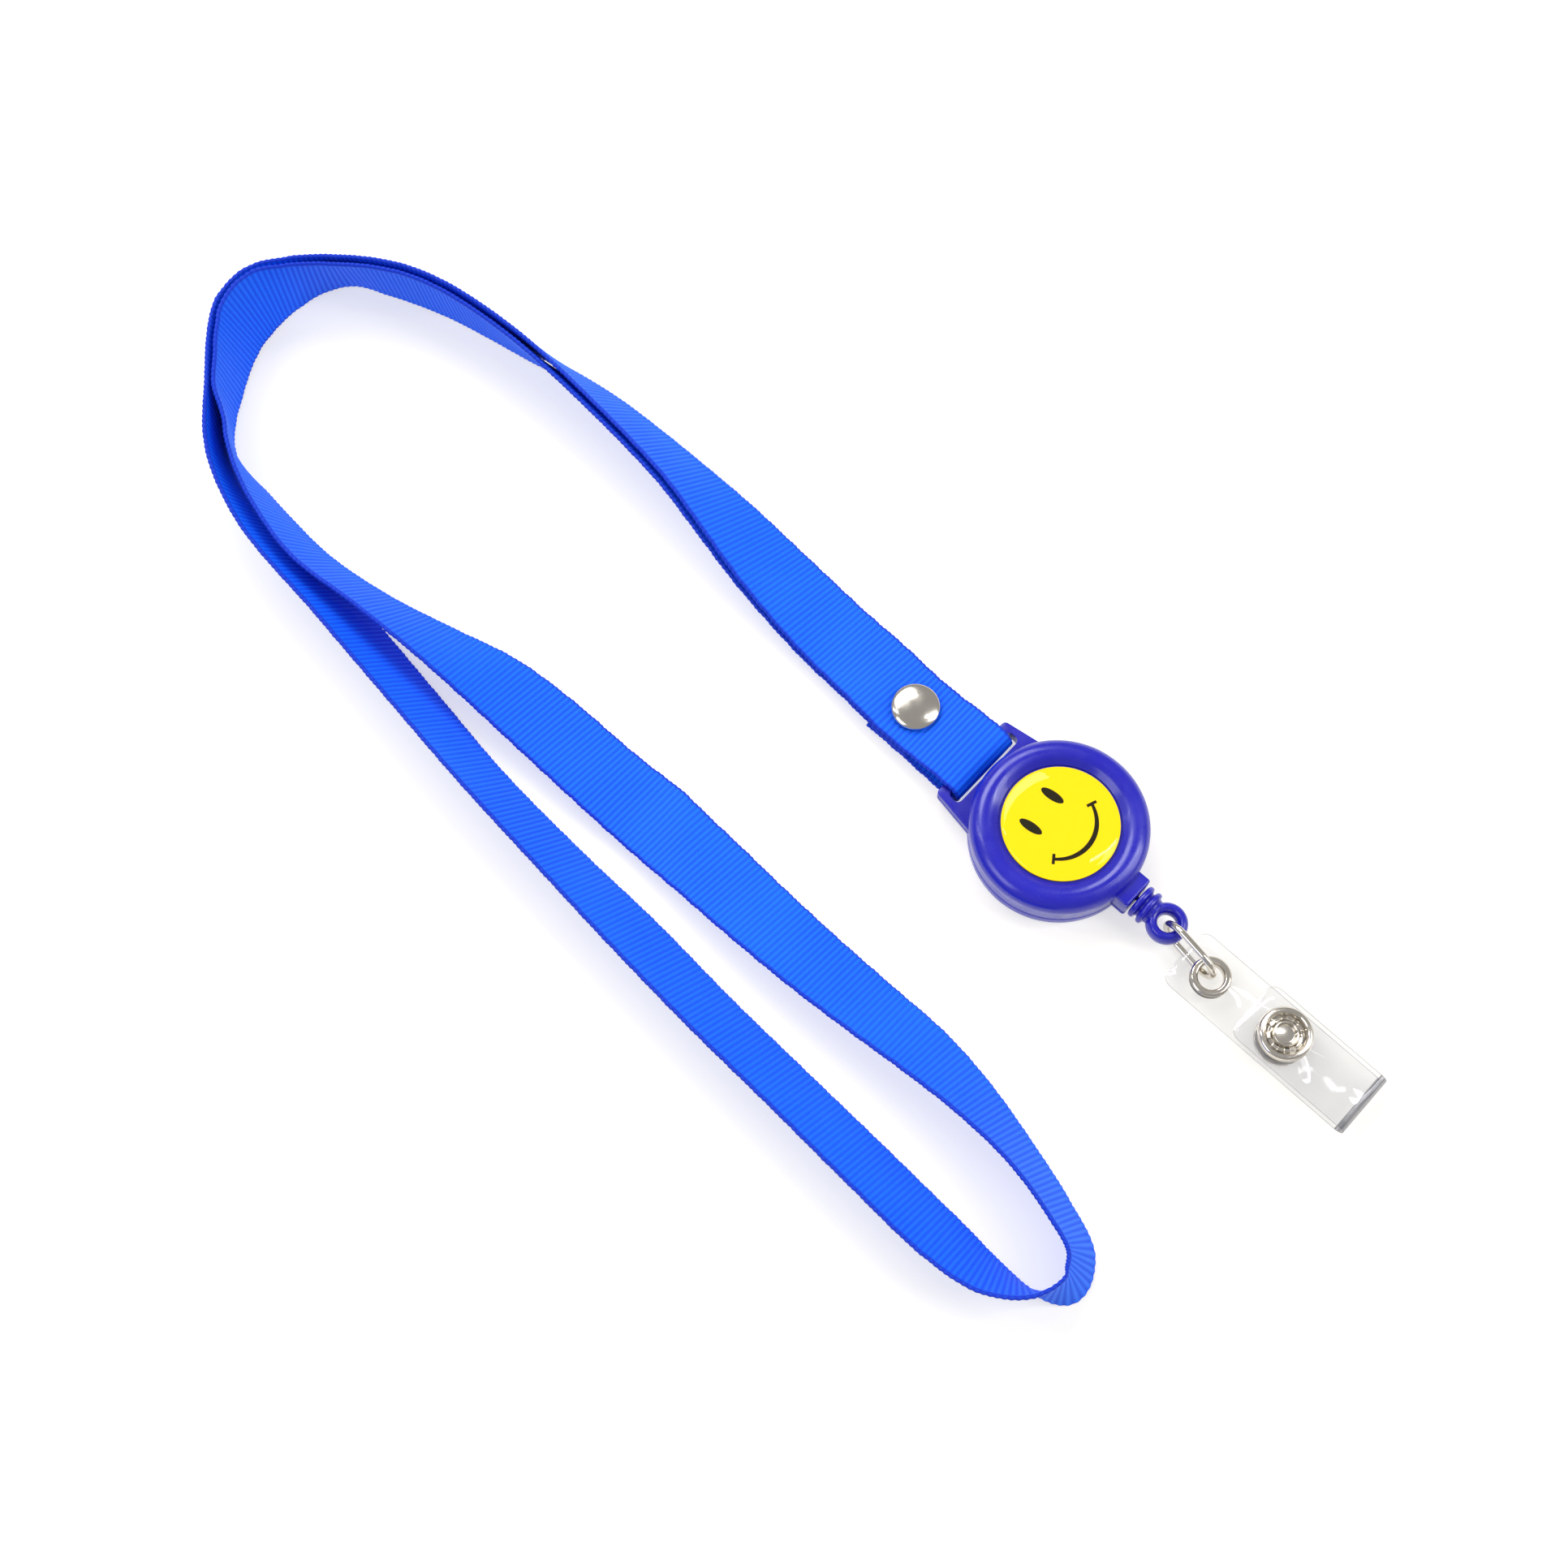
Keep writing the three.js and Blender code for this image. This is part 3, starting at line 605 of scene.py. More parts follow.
class Recipe:
    """A Geometry Nodes tree with named inputs, which ends in Realize Instances and Set Material.

    Args:
        name: the tree's name.
        inputs: the named number inputs and their values.
        build: adds the nodes between and returns the geometry socket.
    """

    def __init__(
        self, name: str, inputs: dict[str, float | int], build: Callable[["Recipe"], bpy.types.NodeSocket]
    ) -> None:
        self.tree = bpy.data.node_groups.new(name, "GeometryNodeTree")
        self.values = inputs
        self.sockets = {}
        self.tree.interface.new_socket("Geometry", in_out="INPUT", socket_type="NodeSocketGeometry")
        for key, value in inputs.items():
            kind = "NodeSocketInt" if isinstance(value, int) else "NodeSocketFloat"
            self.sockets[key] = self.tree.interface.new_socket(key, in_out="INPUT", socket_type=kind)
        self.finish = self.tree.interface.new_socket("Finish", in_out="INPUT",
                                                     socket_type="NodeSocketMaterial")
        self.tree.interface.new_socket("Geometry", in_out="OUTPUT", socket_type="NodeSocketGeometry")
        self.source = self.tree.nodes.new("NodeGroupInput")
        end = self.tree.nodes.new("NodeGroupOutput")
        real = self.add("GeometryNodeRealizeInstances", Geometry=build(self))
        dressed = self.add("GeometryNodeSetMaterial", Geometry=real.outputs[0],
                           Material=self.source.outputs["Finish"])
        self.tree.links.new(dressed.outputs[0], end.inputs[0])

    def value(self, key: str) -> bpy.types.NodeSocket:
        """A named input."""
        return self.source.outputs[key]

    def add(self, kind: str, settings: dict[str, object] | None = None, **inputs: object) -> bpy.types.Node:
        """Adds a node with its settings and the values or links of its sockets."""
        node = self.tree.nodes.new(kind)
        for key, value in (settings or {}).items():
            setattr(node, key, value)
        for key, value in inputs.items():
            numbered = key[0] == "i" and key[1:].isdigit()
            socket = node.inputs[int(key[1:]) if numbered else key.replace("_", " ")]
            if isinstance(value, bpy.types.NodeSocket):
                self.tree.links.new(value, socket)
            else:
                socket.default_value = value
        return node

    def maths(self, operation: str, first: object, second: object = 0.0) -> bpy.types.NodeSocket:
        """One Math node."""
        return self.add("ShaderNodeMath", {"operation": operation}, i0=first, i1=second).outputs[0]

    def run(self, obj: bpy.types.Object, material: bpy.types.Material) -> bpy.types.Object:
        """Applies the tree to an object and leaves a plain mesh."""
        modifier = obj.modifiers.new(self.tree.name, "NODES")
        modifier.node_group = self.tree
        for key, value in self.values.items():
            modifier[self.sockets[key].identifier] = value
        modifier[self.finish.identifier] = material
        return bake(obj)


def empty_object(name: str) -> bpy.types.Object:
    """An object with an empty mesh, for a tree that makes everything."""
    obj = bpy.data.objects.new(name, bpy.data.meshes.new(name))
    bpy.context.scene.collection.objects.link(obj)
    return obj


def ribs_recipe(pitch: float, height: float) -> Recipe:
    """Raises ribs across a strap that stores its run in millimetres."""

    def build(recipe: Recipe) -> bpy.types.NodeSocket:
        run = recipe.add("GeometryNodeInputNamedAttribute", {"data_type": "FLOAT"}, Name="run").outputs[0]
        turns = recipe.maths("DIVIDE", run, recipe.value("Rib Pitch"))
        wave = recipe.maths("SINE", recipe.maths("MULTIPLY", turns, 2 * math.pi))
        rise = recipe.maths("MULTIPLY", wave, recipe.value("Rib Height"))
        normal = recipe.add("GeometryNodeInputNormal").outputs[0]
        offset = recipe.add("ShaderNodeVectorMath", {"operation": "SCALE"}, i0=normal, Scale=rise).outputs[0]
        return recipe.add("GeometryNodeSetPosition", Geometry=recipe.value("Geometry"),
                          Offset=offset).outputs[0]

    return Recipe("woven_ribs", {"Rib Pitch": pitch, "Rib Height": height * MM}, build)


def prongs_recipe(count: int, radius: float, x: float, y: float, z: float) -> Recipe:
    """Folded prongs set round a circle."""

    def build(recipe: Recipe) -> bpy.types.NodeSocket:
        circle = recipe.add("GeometryNodeMeshCircle", Vertices=recipe.value("Count"),
                            Radius=recipe.value("Radius"))
        prong = recipe.add("GeometryNodeMeshCube", Size=(0.0009, 0.00135, 0.0004), Vertices_X=4, Vertices_Y=4,
                           Vertices_Z=2)
        soft = recipe.add("GeometryNodeSubdivisionSurface", Mesh=prong.outputs[0], Level=2)
        place = recipe.add("GeometryNodeInputPosition").outputs[0]
        split = recipe.add("ShaderNodeSeparateXYZ", Vector=place)
        angle = recipe.maths("ARCTAN2", split.outputs[1], split.outputs[0])
        turn = recipe.add("ShaderNodeCombineXYZ", Y=0.45, Z=angle)
        set_round = recipe.add(
            "GeometryNodeInstanceOnPoints",
            Points=circle.outputs[0], Instance=soft.outputs[0], Rotation=turn.outputs[0],
        )
        return recipe.add(
            "GeometryNodeTransform", Geometry=set_round.outputs[0], Translation=(x, y, z)
        ).outputs[0]

    return Recipe("snap_prongs", {"Count": count, "Radius": radius * MM}, build)


def spiral_recipe(name: str, sizes: dict[str, float | int], place: Vector, width: float,
                  height: float) -> Recipe:
    """A flat spiral of strip or cord.

    Args:
        name: the tree's name.
        sizes: its Turns, Start Radius and End Radius, radii in metres.
        place: the spiral's centre.
        width: the section's width in metres; equal to height for a round section.
        height: the section's height in metres.
    """

    def build(recipe: Recipe) -> bpy.types.NodeSocket:
        spiral = recipe.add(
            "GeometryNodeCurveSpiral", Resolution=48, Rotations=recipe.value("Turns"),
            Start_Radius=recipe.value("Start Radius"), End_Radius=recipe.value("End Radius"), Height=0.0,
        )
        if abs(width - height) < 1e-9:
            section = recipe.add("GeometryNodeCurvePrimitiveCircle", Resolution=10, Radius=width / 2)
        else:
            section = recipe.add("GeometryNodeCurvePrimitiveQuadrilateral", Width=width, Height=height)
        body = recipe.add(
            "GeometryNodeCurveToMesh", Curve=spiral.outputs[0], Profile_Curve=section.outputs[0],
            Fill_Caps=True
        )
        return recipe.add("GeometryNodeTransform", Geometry=body.outputs[0],
                          Translation=tuple(place)).outputs[0]

    return Recipe(name, sizes, build)


# ---------------------------------------------------------------- webbing

# Both layers together, from the rivet to the far corner: x, y and lean in degrees.
# The rows of both routes come from a fit to the laid strap, smoothed and rounded.
SHARED_ROUTE = [
    (-29.4, 0, 0), (-36, 0, 0), (-46, 0.7, 3), (-60, 1.4, 10), (-73, 2.3, 21),
    (-84, 3.4, 33), (-95, 4.3, 45), (-106, 4.7, 52), (-117, 4.7, 58), (-127, 4.1, 66),
    (-136, 3.0, 75), (-146, 1.6, 80), (-154, 0.0, 82), (-161, -2.3, 82), (-167, -5.2, 79),
    (-172.6, -8.6, 74), (-176.4, -13.2, 80), (-178.9, -18.4, 92), (-180.4, -24.2, 107), (-179.6, -30.2, 109),
    (-176.7, -35.4, 103), (-173, -40.2, 97), (-169.2, -44.7, 92),
]
# The neck loop as one layer, from the far corner round the neck end and back.
NECK_ROUTE = [
    (-161.5, -52.0, 97), (-146, -56.4, 116), (-122, -58.2, 125), (-101, -60.6, 125), (-81, -62.9, 124),
    (-60, -64.2, 127), (-41, -65, 132), (-22, -66, 132), (-3, -66.5, 132), (15, -67, 133),
    (32, -67.4, 132), (42, -66.8, 122), (49.2, -64, 100), (53.2, -59, 72), (51, -53.8, 66),
    (43, -50.5, 64), (32.4, -47.9, 60), (20, -46.2, 49), (9, -45.8, 39), (-3, -46.4, 33),
    (-15.5, -46.9, 27), (-29, -47, 21), (-42, -46.8, 14), (-54.5, -46.8, 9), (-67, -47.2, 14),
    (-81.6, -47.4, 18), (-93, -48.1, 27), (-105.7, -50.2, 45), (-119.6, -52.6, 58), (-134.4, -54.3, 62),
    (-146.4, -53.0, 70), (-154.2, -51.3, 79), (-159.9, -49.9, 92), (-164.4, -47.3, 95),
]
WEBBING_NODES = (
    "webbing_slot_fold", "webbing_reel_run_front", "webbing_reel_run_back", "webbing_bend_outer",
    "webbing_bend_inner", "webbing_neck_run_left", "webbing_neck_run_right", "webbing_neck_end",
)


@dataclass
class Webbing:
    """The one strap: folded round the slot's bar, out in two layers, and round the neck loop.

    Attributes:
        reel: the reel's centre on the table, in metres.
        width: the strap's width in millimetres.
        pitch: the spacing of the two layers.
        lift: how far the pair rises at the rivet.
        rib: the rib spacing.
    """

    reel: Vector
    width: float = 15.0
    pitch: float = 1.5
    lift: float = 2.0
    rib: float = 1.0
    steps_per_rib: int = 4
    wave: float = 0.006
    dent_at: Point2 = (-47.5, -46.8)
    dent_depth: float = 0.75
    dent_reach: float = 4.5
    bar_x: float = -19.65
    bar_z: float = 2.95
    fold: float = 2.4
    rivet_x: float = -33.9

    def stations(self) -> np.ndarray:
        """Rows of x, y, lean and layer side for the whole route."""
        front = [(x, y, lean, 1.0) for x, y, lean in SHARED_ROUTE]
        loop = [(x, y, lean, 0.0) for x, y, lean in NECK_ROUTE]
        back = [(x, y, 180 - lean, -1.0) for x, y, lean in reversed(SHARED_ROUTE)]
        return np.array(front + loop + back)

    def plan_at(self, rows: np.ndarray, t: np.ndarray) -> np.ndarray:
        """The centripetal curve through the plan points, at station numbers t."""
        xy = rows[:, :2]
        ends = np.vstack([2 * xy[0] - xy[1], xy, 2 * xy[-1] - xy[-2]])
        i = np.minimum(t.astype(int), len(xy) - 2)
        f = (t - i)[:, None]
        p0, p1, p2, p3 = (ends[i + k] for k in range(4))
        d0, d1, d2 = (np.sqrt(np.linalg.norm(b - a, axis=1))[:, None]
                      for a, b in ((p0, p1), (p1, p2), (p2, p3)))
        t1 = ((p1 - p0) / d0 - (p2 - p0) / (d0 + d1) + (p2 - p1) / d1) * d1
        t2 = ((p2 - p1) / d1 - (p3 - p1) / (d1 + d2) + (p3 - p2) / d2) * d1
        return p1 + t1 * f + (3 * (p2 - p1) - 2 * t1 - t2) * f**2 + (2 * (p1 - p2) + t1 + t2) * f**3

    def carried(self, column: np.ndarray, t: np.ndarray) -> np.ndarray:
        """A smooth value between stations."""
        i = np.minimum(t.astype(int), len(column) - 2)
        f = t - i
        a, b, c, d = (column[np.clip(i + k, 0, len(column) - 1)] for k in (-1, 0, 1, 2))
        return 0.5 * (2 * b + (c - a) * f + (2 * a - 5 * b + 4 * c - d) * f**2
                      + (3 * b - a - 3 * c + d) * f**3)

    def laid_line(self) -> tuple[np.ndarray, np.ndarray, np.ndarray]:
        """Centre, width direction and face direction of the laid strap, densely."""
        rows = self.stations()
        t = np.linspace(0.72, len(rows) - 1, 9000)
        plan = self.plan_at(rows, t)
        along = np.gradient(plan, axis=0)
        along /= np.linalg.norm(along, axis=1)[:, None]
        left = np.stack([-along[:, 1], along[:, 0], np.zeros(len(t))], 1)
        lean = np.radians(self.carried(rows[:, 2], t))
        side = np.clip(self.carried(rows[:, 3], t), -1, 1)
        up = np.array([0.0, 0.0, 1.0])
        width = left * np.cos(lean)[:, None] + up * np.sin(lean)[:, None]
        face = up * np.cos(lean)[:, None] - left * np.sin(lean)[:, None]
        share = np.clip((plan[:, 0] + 56) / 18, 0, 1)
        rise = self.lift * share**2 * (3 - 2 * share) * np.abs(side)
        layers = 0.55 + self.pitch / 2 * np.abs(side)
        height = self.width / 2 * np.sin(lean) + layers * np.abs(np.cos(lean)) + rise
        centre = np.column_stack([plan, height]) + face * (self.pitch / 2 * np.abs(side))[:, None]
        return centre, width, face

    def fold_line(self) -> tuple[np.ndarray, np.ndarray, np.ndarray]:
        """The same for the end that folds round the bar, from its free end to the rivet."""
        top, bottom = self.bar_z + self.fold, self.bar_z - self.fold
        turn = np.linspace(-math.pi / 2, math.pi / 2, 40)
        arc = [(self.bar_x + self.fold * math.cos(a), self.bar_z + self.fold * math.sin(a)) for a in turn]
        ramp = self.rivet_x + 5
        route = [(self.rivet_x - 5, 1.25), (ramp - 1, 1.25), (self.bar_x - 4, bottom), *arc]
        route += [(self.bar_x - 4, top), (ramp - 1, 4.05), (self.rivet_x, 4.05)]
        line = np.array(fillet(route, 2.0, 6))
        centre = np.column_stack([line[:, 0], np.zeros(len(line)), line[:, 1]])
        along = np.gradient(centre, axis=0)
        along /= np.linalg.norm(along, axis=1)[:, None]
        width = np.tile([0.0, -1.0, 0.0], (len(line), 1))
        return centre, width, np.cross(along, -width) * -1.0

    def line(self) -> tuple[np.ndarray, np.ndarray, np.ndarray, np.ndarray]:
        """The whole strap resampled evenly, with its run in millimetres."""
        parts = list(zip(self.fold_line(), self.laid_line()))
        centre, width, face = (np.vstack(pair) for pair in parts)
        gaps = np.linalg.norm(np.diff(centre, axis=0), axis=1)
        keep = np.r_[True, gaps > 1e-4]
        centre, width, face = centre[keep], width[keep], face[keep]
        run = np.r_[0, np.cumsum(np.linalg.norm(np.diff(centre, axis=0), axis=1))]
        count = int(run[-1] / self.rib * self.steps_per_rib)
        even = np.linspace(0, run[-1], count)
        spread = [np.column_stack([np.interp(even, run, c[:, k]) for k in range(3)])
                  for c in (centre, width, face)]
        unit = [v / np.linalg.norm(v, axis=1)[:, None] for v in spread[1:]]
        return spread[0], unit[0], unit[1], even

    def build(self) -> bpy.types.Object:
        """Makes, ribs and dresses the strap."""
        centre, width, face, run = self.line()
        half = [(-1, 0), (-0.985, 0.26), (-0.94, 0.4), (-0.88, 0.34), (-0.5, 0.38), (0, 0.38)]
        over = half + [(-u, h) for u, h in half[-2::-1]]
        section = over + [(u, -h) for u, h in over[-2:0:-1]]
        u = np.array([s[0] for s in section])
        h = np.array([s[1] for s in section])
        sway = 1 + self.wave * (np.sin(run * 2 * math.pi / 5.3) + 0.6 * np.sin(run * 2 * math.pi / 3.1 + 1.0))
        reach = (u * self.width / 2)[None, :, None] * sway[:, None, None]
        fall = self.dent(centre, run, u)
        points = (centre[:, None] + width[:, None] * reach
                  + face[:, None] * (h[None, :, None] - fall[:, :, None]))
        count, sides = len(centre), len(section)
        flat = points.reshape(-1, 3) * MM + np.array([self.reel.x, self.reel.y, 0.0])
        k = np.arange(sides)
        base = (np.arange(count - 1) * sides)[:, None]
        quads = np.stack([base + k, base + (k + 1) % sides, base + sides + (k + 1) % sides, base + sides + k],
                         2)
        faces = quads.reshape(-1, 4).tolist()
        faces += [tuple(range(sides))[::-1], tuple(range(len(flat) - sides, len(flat)))]
        obj = mesh_object("webbing_strap", flat, faces, 60.0)
        self.store(obj, "run", np.repeat(run, sides))
        self.store(obj, "across", np.tile(u, count))
        ribs_recipe(self.rib, 0.07).run(obj, MATERIALS[Slot.WEBBING])
        settle(obj, Slot.WEBBING, "lanyard", *WEBBING_NODES)
        log.info("strap length %.1f mm", run[-1])
        return obj

    def store(self, obj: bpy.types.Object, name: str, values: np.ndarray) -> None:
        """Keeps one number for each vertex."""
        attribute = obj.data.attributes.new(name, "FLOAT", "POINT")
        attribute.data.foreach_set("value", values.astype(np.float32))

    def dent(self, centre: np.ndarray, run: np.ndarray, across: np.ndarray) -> np.ndarray:
        """How far a handling crease presses the strap in, for each point of each row.

        The crease crosses the strap on a slant and fades towards one edge.
        """
        away = np.linalg.norm(centre[:, :2] - np.array(self.dent_at), axis=1)
        late = run > run[-1] / 2
        middle = run[np.argmin(np.where(late, away, np.inf))]
        slant = (run[:, None] - middle) + across[None, :] * self.width * 0.45
        share = np.exp(-((slant / self.dent_reach) ** 2))
        return -self.dent_depth * share * np.clip(0.75 - across[None, :] * 0.6, 0, 1) * late[:, None]


@dataclass
class Rivet:
    """The rivet through the strap's layers.

    Attributes:
        centre: its axis on the table.
    """

    centre: Vector
    base: float = 4.82
    radius: float = 4.45

    def build(self) -> None:
        """Makes the domed cap and the washer below."""
        rim, base = self.radius, self.base
        dome = [(rim * math.cos(a), base + 0.42 + 1.15 * math.sin(a))
                for a in np.linspace(0, math.pi / 2, 22)]
        dome[-1] = (0.0, dome[-1][1])
        lip = [(rim - 0.25, base), (rim - 0.04, base + 0.14), (rim, base + 0.3)]
        profile = [(0, 0.95), (1.2, 0.95), (1.2, base), *lip, *dome[1:]]
        settle(lathe("rivet_head", profile, self.centre, FINE), Slot.NICKEL, "lanyard", "rivet_cap")
        back = fillet([(0, 0.0), (3.7, 0.0), (4.0, 0.2), (4.0, 0.45), (1.9, 0.45), (1.7, 0.3), (0, 0.3)],
                      0.12, 3)
        settle(lathe("rivet_back", back, self.centre, SMALL), Slot.NICKEL, "lanyard", "rivet_washer")


# ---------------------------------------------------------------- reel


@dataclass
class ReelCase:
    """The two covers, with the lug and the cord's neck.

    Attributes:
        centre: the reel's axis on the table.
    """

    centre: Vector
    radius: float = 15.8
    wall: float = 1.6
    seam: float = 2.8
    gap: float = 0.12
    ceiling: float = 7.0
    seat: float = 8.2
    recess: float = 10.9

    def lug(self, name: str, low: float, high: float) -> bpy.types.Object:
        """The slotted plate that the strap folds through."""
        outline = [(-9.0, -11.0), (-11, -10.8), (-20.6, -9.25), (-20.6, 9.25), (-11, 10.8), (-9.0, 11.0)]
        return prism(name, fillet(outline, 0.9, 5, closed=True), low, high, self.centre, 0.22)

    def slot(self) -> bpy.types.Object:
        """The slot's cutter, with round ends."""
        outline = fillet([(-18.7, -8.3), (-16.2, -8.3), (-16.2, 8.3), (-18.7, 8.3)], 1.2, 6, closed=True)
        return prism("slot_cutter", outline, -1.0, 6.0, self.centre)

    def neck(self, name: str, low: float, high: float, bevel: float) -> bpy.types.Object:
        """The block that the cord leaves by."""
        outline = [(10, -3.2), (18.2, -3.2), (18.2, 3.2), (10, 3.2)]
        return prism(name, fillet(outline, 0.5, 4, closed=True), low, high, self.centre, bevel)

    def front_profile(self) -> list[Point2]:
        """The rolled rim round the sticker's seat, and the hollow inside."""
        low = self.seam + self.gap
        rim = [(13.35 + 2.65 * math.cos(a), 6.95 + 2.63 * math.sin(a)) for a in np.linspace(-0.25, 2.25, 30)]
        inside = self.radius - self.wall
        outer = [(self.radius - 0.12, low), (self.radius, low + 0.12), (self.radius, 5.4)]
        seat = [(self.recess + 0.06, self.seat + 0.25), (self.recess, self.seat), (0, self.seat)]
        hollow = [(0, self.ceiling), (inside - 0.4, self.ceiling), (inside, self.ceiling - 0.4),
                  (inside, low)]
        return [*hollow, *outer, *rim, *seat]

    def front(self) -> bpy.types.Object:
        """The front cover."""
        shell = lathe("case_front", self.front_profile(), self.centre, 160)
        low = self.seam + self.gap
        lug = self.lug("front_lug", low, 4.3)
        neck = self.neck("front_neck", low, 7.5, 0.35)
        hollow = lathe("hollow", [(0, 2.0), (14.2, 2.0), (14.2, self.ceiling), (0, self.ceiling)],
                       self.centre, 96)
        extra = combine(combine(lug, [neck], "UNION"), [hollow, self.slot()], "DIFFERENCE")
        passage = prism("passage", [(11, -0.9), (20, -0.9), (20, 0.9), (11, 0.9)], 3.8, 5.4, self.centre)
        cover = combine(shell, [extra], "UNION")
        return combine(cover, [passage], "DIFFERENCE")

    def back(self) -> bpy.types.Object:
        """The back cover, with the post and the screw's recess."""
        r, inside, seam = self.radius, self.radius - self.wall, self.seam
        outer = fillet([(2.2, 0.0), (r, 0.0), (r, seam), (inside, seam), (inside, 1.2), (3.2, 1.2),
                        (3.2, 1.8),
                        (1.7, 1.8), (1.7, 6.2), (1.15, 6.2), (1.15, 1.1), (2.2, 1.1)], 0.7, 5, closed=True)
        shell = lathe("case_back", outer, self.centre, 160)
        lug = self.lug("back_lug", 1.6, seam)
        neck = self.neck("back_neck", 1.7, seam, 0.25)
        hollow = lathe("hollow", [(0, 1.25), (14.2, 1.25), (14.2, 4.0), (0, 4.0)], self.centre, 96)
        extra = combine(combine(lug, [neck], "UNION"), [hollow, self.slot()], "DIFFERENCE")
        return combine(shell, [extra], "UNION")

    def screw(self) -> bpy.types.Object:
        """The axle screw, with a cross in its head."""
        profile = [(0, 0.15), (1.5, 0.15), (1.9, 0.4), (1.9, 0.8), (0.85, 0.8), (0.85, 7.2), (0.6, 7.4),
                   (0, 7.4)]
        screw = lathe("centre_screw", profile, self.centre, SMALL)
        cross = [
            prism("cross_x", [(-1.2, -0.22), (1.2, -0.22), (1.2, 0.22), (-1.2, 0.22)], -0.5, 0.5,
                  self.centre),
            prism("cross_y", [(-0.22, -1.2), (0.22, -1.2), (0.22, 1.2), (-0.22, 1.2)], -0.5, 0.5,
                  self.centre),
        ]
        return combine(screw, cross, "DIFFERENCE")

    def build(self) -> None:
        """Makes and dresses the case."""
        settle(self.front(), Slot.CASE, "reel_case", "front_cover")
        settle(self.back(), Slot.CASE, "reel_case", "back_cover")
        settle(self.screw(), Slot.NICKEL, "reel_case", "axle_screw")


@dataclass
class Mechanism:
    """What turns inside the case, and the cord's lead.

    Attributes:
        centre: the reel's axis on the table.
        cord: the cord's diameter in millimetres.
    """

    centre: Vector
    cord: float = 0.8
    height: float = 4.6

    def spool(self) -> bpy.types.Object:
        """The flanged spool."""
        low, high = self.height - 0.7, self.height + 0.7
        profile = [(2.0, 5.3), (7.6, 5.3), (7.6, 2.2), (8.4, 2.2), (8.4, low - 0.6), (13.3, low - 0.6),
                   (13.3, low),
                   (8.4, low), (8.4, high), (13.3, high), (13.3, 5.9), (2.0, 5.9)]
        return lathe("cord_spool", fillet(profile, 0.12, 3, closed=True), self.centre, 96)

    def winding(self) -> bpy.types.Object:
        """The wound cord, as a spiral that fills the groove."""
        place = Vector((self.centre.x, self.centre.y, self.height * MM))
        sizes = {"Turns": 4.6, "Start Radius": 9.2 * MM, "End Radius": 12.0 * MM}
        thick = self.cord * 0.72 * MM
        recipe = spiral_recipe("wound_cord", sizes, place, thick, thick)
        return recipe.run(empty_object("wound_cord"), MATERIALS[Slot.CORD])

    def spring(self) -> bpy.types.Object:
        """The flat power spring."""
        place = Vector((self.centre.x, self.centre.y, 3.65 * MM))
        sizes = {"Turns": 7.5, "Start Radius": 2.45 * MM, "End Radius": 7.1 * MM}
        recipe = spiral_recipe("power_spring_strip", sizes, place, 0.2 * MM, 2.6 * MM)
        return recipe.run(empty_object("power_spring_strip"), MATERIALS[Slot.SPRING])

    def lead(self) -> bpy.types.Object:
        """The cord from the spool to the bead."""
        z = self.height
        bends = [(12.7, 3.4), (13.1, 2.2), (13.9, 1.1), (15.1, 0.4), (16.5, 0.05), (18.0, 0.0)]
        flat = fillet(bends, 2.0, 6)
        flat += [(18.0 + 1.9 * k / 40, 0.0) for k in range(1, 41)]
        route = [Vector((self.centre.x + x * MM, self.centre.y + y * MM, z * MM)) for x, y in flat]
        return wire("cord_run", route, Vector((0, 0, 1)), self.cord / 2, 16, False)

    def build(self) -> None:
        """Makes and dresses the mechanism."""
        settle(self.spool(), Slot.WHITE, "reel_spool", "spool")
        settle(self.winding(), Slot.CORD, "reel_spool", "cord_winding")
        settle(self.spring(), Slot.SPRING, "reel_spool", "power_spring")
        lead = settle(self.lead(), Slot.CORD, None, "cord_lead")
        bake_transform(lead)


